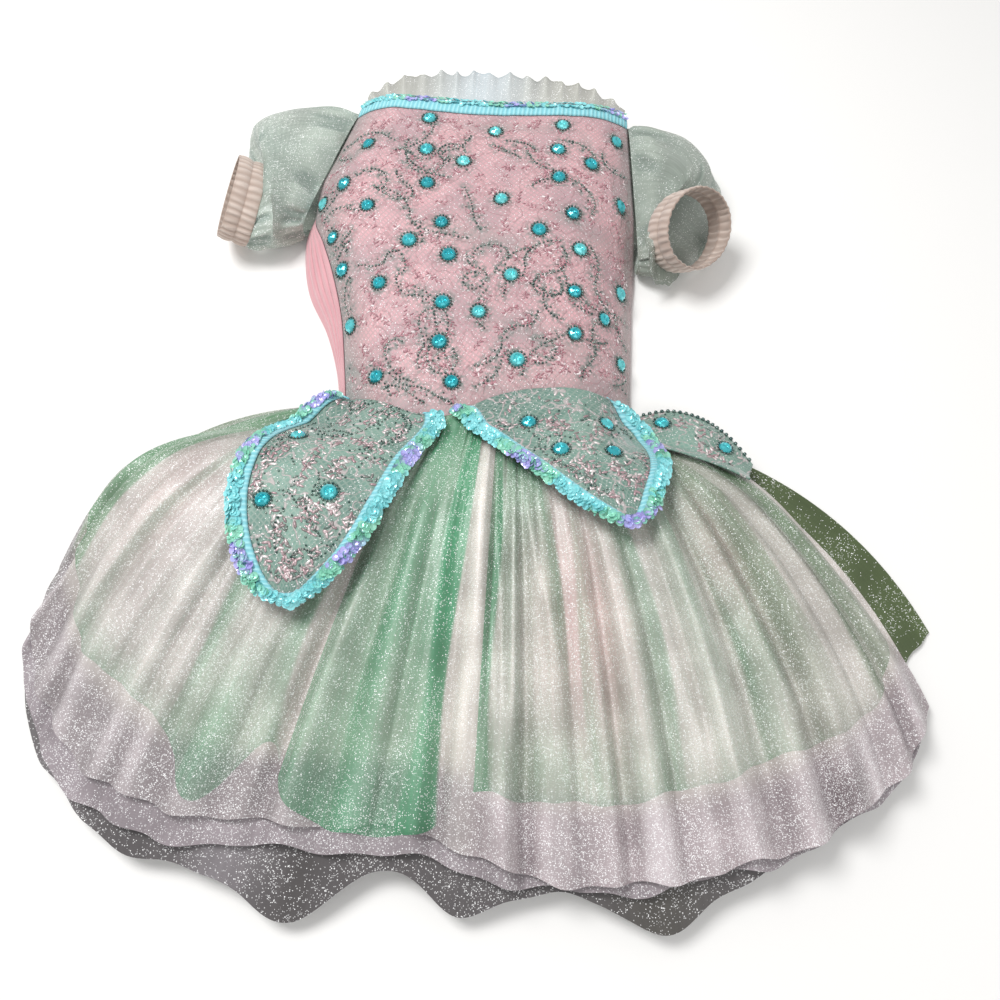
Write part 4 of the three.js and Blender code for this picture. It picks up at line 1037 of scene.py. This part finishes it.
drapeObjects = {}
for name, (low, high, columns, thin, bareFrom, patches) in drapes.items():
    grid, place, share, broad, steep = skirtGrid(
        low, high, columns, drapeEnd, skirt["step"], skirt["loose"], 1)
    strong = np.zeros_like(place)
    for at, start, width, length, strength, crisp in patches:
        beside = place - at + 0.05 * sin(share * 9 + at * 5)
        edge = ease(0.5 - crisp * (beside - crisp * 0.45 * width) / 0.05) if crisp else 1
        strong += strength * spot(beside, 0, width) * spot(share, start, length) * edge
    fromHem = 1 - share / drapeEnd(place)
    hem = spot(fromHem, 0.0, 0.012) + 0.35 * spot(fromHem, 0.02, 0.05)
    side = 1 - ease((place - low) / 0.05)
    veiled = 1 - ease((place - bareFrom - 0.05 * sin(share * 7)) / 0.05)
    gathered = spot(share, 0.0, 0.12)
    towardsRight = ease((place - 9.6) / 1.2)
    veil = thin + strong + 0.1 * steep + 0.16 * hem + 0.12 * side + 0.25 * gathered
    # The darker green: more cloth in the dense strips and at the hem's fold, and painted shade on the steep
    # sides of the folds
    drapeObjects[name] = clothObject(name, grid, mintOrganza, layers={
        "tone": tinted("529c74", ("3c7a57", clip(0.6 * steep + 0.5 * hem + 0.4 * strong, 0, 0.9)),
                       ("8db597", 0.35 * spot(share, 0.8, 0.15)),
                       ("677c5e", 0.8 * towardsRight), ("668a69", 0.8 * ease((1.8 - place) / 1))),
        "veil": clip(veil * veiled, 0.0, 0.94), "glitter": 0.0})
    drapeObjects[name].visible_shadow = False  # a veil this thin dims nothing, and its shadow is slow
print("drapes")


# Petals: lace over sage, each with its gems; two are edged with sequin ribbon
petalShape = {  # and how many square mm of lace there are to a vine, a bead and a sprig
    "wall": 1.2, "spread": 11, "loose": 3.2, "bulge": 3.5, "inside": (0.12, 0.88, 0.04, 0.9),
    "toVine": 900, "toBead": 120, "toSprig": 175, "leaf": 1.4, "ribbon": 11.0,
}
petals = {
    "petalLeft": {
        "sides": readTable("share leftX leftY rightX rightY", [
            [0, -91, 8, -19, -12], [0.15, -115, -14, -17, -22], [0.37, -127, -50, -29, -45],
            [0.6, -128, -85, -38, -75], [0.8, -119, -117, -52, -108], [0.94, -104, -137, -71, -133],
            [1, -91, -143, -80, -142]]),
        "gems": [(0.25, 0.3), (0.22, 0.62), (0.62, 0.6)], "seat": 1.0, "droop": 0.0, "size": (100.0, 150.0)},
    "petalRight": {
        "sides": readTable("share leftX leftY rightX rightY", [
            [0, -14, -11.5, 94, 12], [0.2, 8, -27, 112, -4], [0.4, 24, -41, 118, -20],
            [0.6, 41, -54, 118, -42], [0.8, 63, -71, 113, -62], [0.93, 82, -82, 108, -77],
            [1, 92, -86, 101, -85]]),
        "gems": [(0.3, 0.16), (0.72, 0.2), (0.62, 0.5), (0.3, 0.45)], "seat": 1.9, "droop": 0.0,
        "size": (95.0, 85.0)},
    "petalSide": {
        "sides": readTable("share leftX leftY rightX rightY", [
            [0, 97, -3, 105, 12], [0.25, 113, -12, 127, 18], [0.5, 133, -20, 148, 14],
            [0.75, 153, -28, 164, 2], [1, 172, -36, 179, -18]]),
        "gems": [(0.55, 0.25), (0.6, 0.76)], "seat": 1.9, "droop": 9.0, "size": (28.0, 82.0)},
}


def petalAt(petal, u, v):
    u, v = np.asarray(u, float), np.asarray(v, float)
    leftX, leftY, rightX, rightY = petal["sides"](v)
    x, y = mix(leftX, rightX, u), mix(leftY, rightY, u)
    if not petal["droop"]:
        y = mix(waistSeam(x) - 0.35, y, ease(v / 0.14))
    away = waistSeam(x) - y
    loose = mix(petal["seat"], petalShape["loose"], ease(away / 14))
    loose = loose + petalShape["spread"] * ease(away / 110)
    arch = sin(pi * clip(u, 0, 1))
    bulge = petalShape["bulge"] * arch * sin(pi * clip(v, 0, 1))
    under = np.maximum(skirtBase(x, y), skirt["edge"] + 2.5 * skirt["sideRise"])
    soft = 0.35 * sin(x * 0.22 + y * 0.1) * sin(y * 0.17) * arch
    return np.stack([x, y, under + 2 * skirt["step"] + loose + bulge - petal["droop"] * u + soft], -1)


petalObjects, petalSprigs = {}, []
u, v = spread(64, 64)
shade = clip(0.5 * (1 - ease(v / 0.25)) + 0.25 * sin(6 * u + 4 * v), 0, 0.8)
for name, petal in petals.items():
    surface = partial(petalAt, petal)
    petalObjects[name] = clothObject(name, surface(u, v), petalLace, thickness=petalShape["wall"],
                                     layers={"denseAndShade": shade, "vine": 0.0})
    cups = gemSpots(surface, petal["gems"])
    gemCups.append(cups)
    gemBeads += gemRings(cups)
    size, inside = np.array(petal["size"]), petalShape["inside"]
    area = size.prod()
    gemBeads += sewnVines(surface, size, int(area / petalShape["toVine"]), inside, petal["gems"])
    for _ in range(int(area / petalShape["toBead"])):
        here = spotOn(surface, dice.uniform(*inside[:2]), dice.uniform(*inside[2:]), 0.4)
        gemBeads.append([*here, 0.0, 0.8, dice.uniform(0, 1)])
    sprays = int(area / petalShape["toSprig"])
    petalSprigs += sewnSprigs(surface, size, sprays, inside, petal["gems"], petalShape["leaf"])
    if petal["droop"]:  # larger beads stand along its free edge
        for along in np.arange(0.06, 0.98, 0.045):
            gemBeads.append([*spotOn(surface, 0.97, along, 0.5), along * 9, 1.7, dice.uniform(0, 0.5)])
print("petals")


def petalEdge(petal, reachMm):  # down one side, round the tip, up the other, so far in from the edge
    tip = 0.93
    down = np.linspace(0.0, tip, 90)
    leftX, leftY, rightX, rightY = petal["sides"](down)
    share = np.minimum(0.36, reachMm / np.hypot(rightX - leftX, rightY - leftY))
    tipIn = reachMm / np.hypot(*(petal["sides"](1.0) - petal["sides"](0.86))[:2]) * 0.14
    turn = np.linspace(0, 1, 34)[1:-1]
    u = np.concatenate([share, mix(share[-1], 1 - share[-1], turn), 1 - share[::-1]])
    v = np.concatenate([down, mix(tip, 1 - tipIn, sin(pi * turn) ** 0.5), down[::-1]])
    return petalAt(petal, u, v)


trimObjects, sequinObjects = {}, {}
for name, shift in (("petalLeft", 0.4), ("petalRight", 2.2)):
    grid = elasticGrid(petalEdge(petals[name], petalShape["ribbon"]), petalEdge(petals[name], 0.2))
    trimObjects[name] = clothObject(name + "Trim", grid, aquaElastic, thickness=trims["wall"])
    sequins = sewnSequins(grid, (0.5, 0.68, 0.86, 1.03), shift)
    sequinObjects[name] = scatter(name + "Sequins", "sequin", sequins, sequinFilm, 1.08)
print("petal trims")

ornaments = [
    scatter("gemCups", "cup", np.concatenate(gemCups), foilCup, 1.12),
    scatter("seedBeads", "bead", gemBeads, darkBeads),
    scatter("embroideredSprigs", "leaf", sprigs, sprigThread)]
petalStitches = scatter("petalSprigs", "leaf", petalSprigs, silverThread)
for part in smallParts.values():
    bpy.data.objects.remove(part)
print("ornaments")


# Every piece hangs from the root, and the imported solids a cloth replaces are hidden
for piece, slot in [*((made, "beaded_lace") for made in ornaments), (petalStitches, "sage_lace"),
                    *((made, "sequin_ribbon") for made in (neckSequins, *sequinObjects.values()))]:
    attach(piece, "root")

onBodice, onBack, onSkirt = ["bodiceFront"], ["bodiceBack"], ["skirtOrganzaFront"]
cloths = [  # piece, slot, the solids it replaces, flat size, how it is held, area, and what it lies on
    (bodiceFront, "beaded_lace", "bodice_front", (0.26, 0.27), "laid", 0.058, None),
    (bodiceBack, "pink_stretch", "bodice_back", (0.27, 0.27), "laid", 0.061, None),
    (neckTrim, "sequin_ribbon", "neck_trim", (0.23, 0.013), "laid", None, onBodice),
    (neckRuffleFront, "ivory_organza", "neck_ruffle_front", (0.28, 0.02), "gathered", 0.0045, onBodice),
    (neckRuffleBack, "ivory_organza", "neck_ruffle_back", (0.19, 0.016), "gathered", 0.0026, onBack),
    (sleeveObjects["left"], "sage_organza", "sleeve_left", (0.28, 0.07), "gathered", None, None),
    (sleeveObjects["right"], "sage_organza", "sleeve_right", (0.28, 0.065), "gathered", None, None),
    (cuffObjects["left"], "peach_elastic", "cuff_left", (0.2, 0.021), "gathered", None, ["leftSleeve"]),
    (cuffObjects["right"], "peach_elastic", "cuff_right", (0.2, 0.024), "gathered", None, ["rightSleeve"]),
    (skirtOrganzaFront, "ivory_organza", "skirt_organza_front", (0.75, 0.28), "gathered", 0.142, None),
    (skirtNetFront, "pink_net", "skirt_net_front", (0.68, 0.29), "gathered", 0.13, None),
    (skirtSmokeFront, "smoke_net", "skirt_smoke_front", (0.6, 0.3), "gathered", 0.116, None),
    (backObjects["skirtOrganzaBack"], "ivory_organza", "skirt_organza_back", (0.6, 0.26), "laid", 0.111,
     None),
    (backObjects["skirtNetBack"], "pink_net", "skirt_net_back", (0.58, 0.26), "laid", 0.107, None),
    (backObjects["skirtSmokeBack"], "smoke_net", "skirt_smoke_back", (0.56, 0.26), "laid", 0.102, None),
    (overskirtBack, "mint_organza", "overskirt_back", (0.6, 0.24), "laid", 0.099, None),
    (drapeObjects["drapeCentre"], "mint_organza", "drape_centre", (0.13, 0.27), "draped", 0.021, onSkirt),
    (drapeObjects["drapeLeft"], "mint_organza", "drape_far_left drape_left", (0.3, 0.25), "draped",
     0.038, onSkirt),
    (drapeObjects["drapeRight"], "mint_organza", "drape_middle_right drape_right drape_far_right",
     (0.36, 0.25), "draped", 0.054, onSkirt),
    (petalObjects["petalLeft"], "sage_lace", "petal_front_left", (0.11, 0.16), "laid", 0.013, onSkirt),
    (petalObjects["petalRight"], "sage_lace", "petal_front_right", (0.11, 0.1), "laid", 0.0095, onSkirt),
    (petalObjects["petalSide"], "sage_lace", "petal_side_right", (0.09, 0.034), "laid", 0.003, onSkirt),
    (trimObjects["petalLeft"], "sequin_ribbon", "petal_trim_front_left", (0.33, 0.012), "laid", None,
     ["petalLeft"]),
    (trimObjects["petalRight"], "sequin_ribbon", "petal_trim_front_right", (0.24, 0.012), "laid", None,
     ["petalRight"])]
for piece, slot, solids, flat, held, area, under in cloths:
    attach(piece, "root")
    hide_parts(*solids.split())

# Floor, light and camera
floorMaterial, tree, shader = newMaterial("pale table", {"Base Color": toLinear("f4f3f1"), "Roughness": 0.9})
floorReach, floorTop = 9000, -0.6
corners = [(x * floorReach, y * floorReach, floorTop) for x, y in ((-1, -1), (1, -1), (1, 1), (-1, 1))]
floor = meshObject("floor", corners, [(0, 1, 2, 3)])
floor.data.materials.append(floorMaterial)

studio = {  # watts, metres and mm; each lamp has its power, place and size
    "sky": 0.52, "key": (12.4, (-0.5, 0.25, 1.15), 0.5), "fill": (4.2, (0.7, -0.8, 0.95), 1.2),
    "aim": (0.0, -0.05, 0.0), "lens": 30.2, "sensor": 36,
}
world = bpy.data.worlds.new("studio")
world.use_nodes = True
world.node_tree.nodes["Background"].inputs["Color"].default_value = (1, 1, 1, 1)
world.node_tree.nodes["Background"].inputs["Strength"].default_value = studio["sky"]
bpy.context.scene.world = world
for name in ("key", "fill"):
    power, place, size = studio[name]
    lamp = bpy.data.lights.new(name, "AREA")
    lamp.energy, lamp.size = power, size
    light = placed(name, lamp)
    light.location = place
    light.rotation_euler = (Vector(studio["aim"]) - Vector(place)).to_track_quat("-Z", "Y").to_euler()

lens = bpy.data.cameras.new("camera")
lens.lens, lens.sensor_width = studio["lens"], studio["sensor"]
camera = placed("camera", lens)
camera.location = (0.0357, -0.24937, 0.5)
camera.rotation_euler = (np.radians(22), 0, np.radians(4.3))
bpy.context.scene.camera = camera
bpy.context.scene.view_settings.view_transform = "Standard"
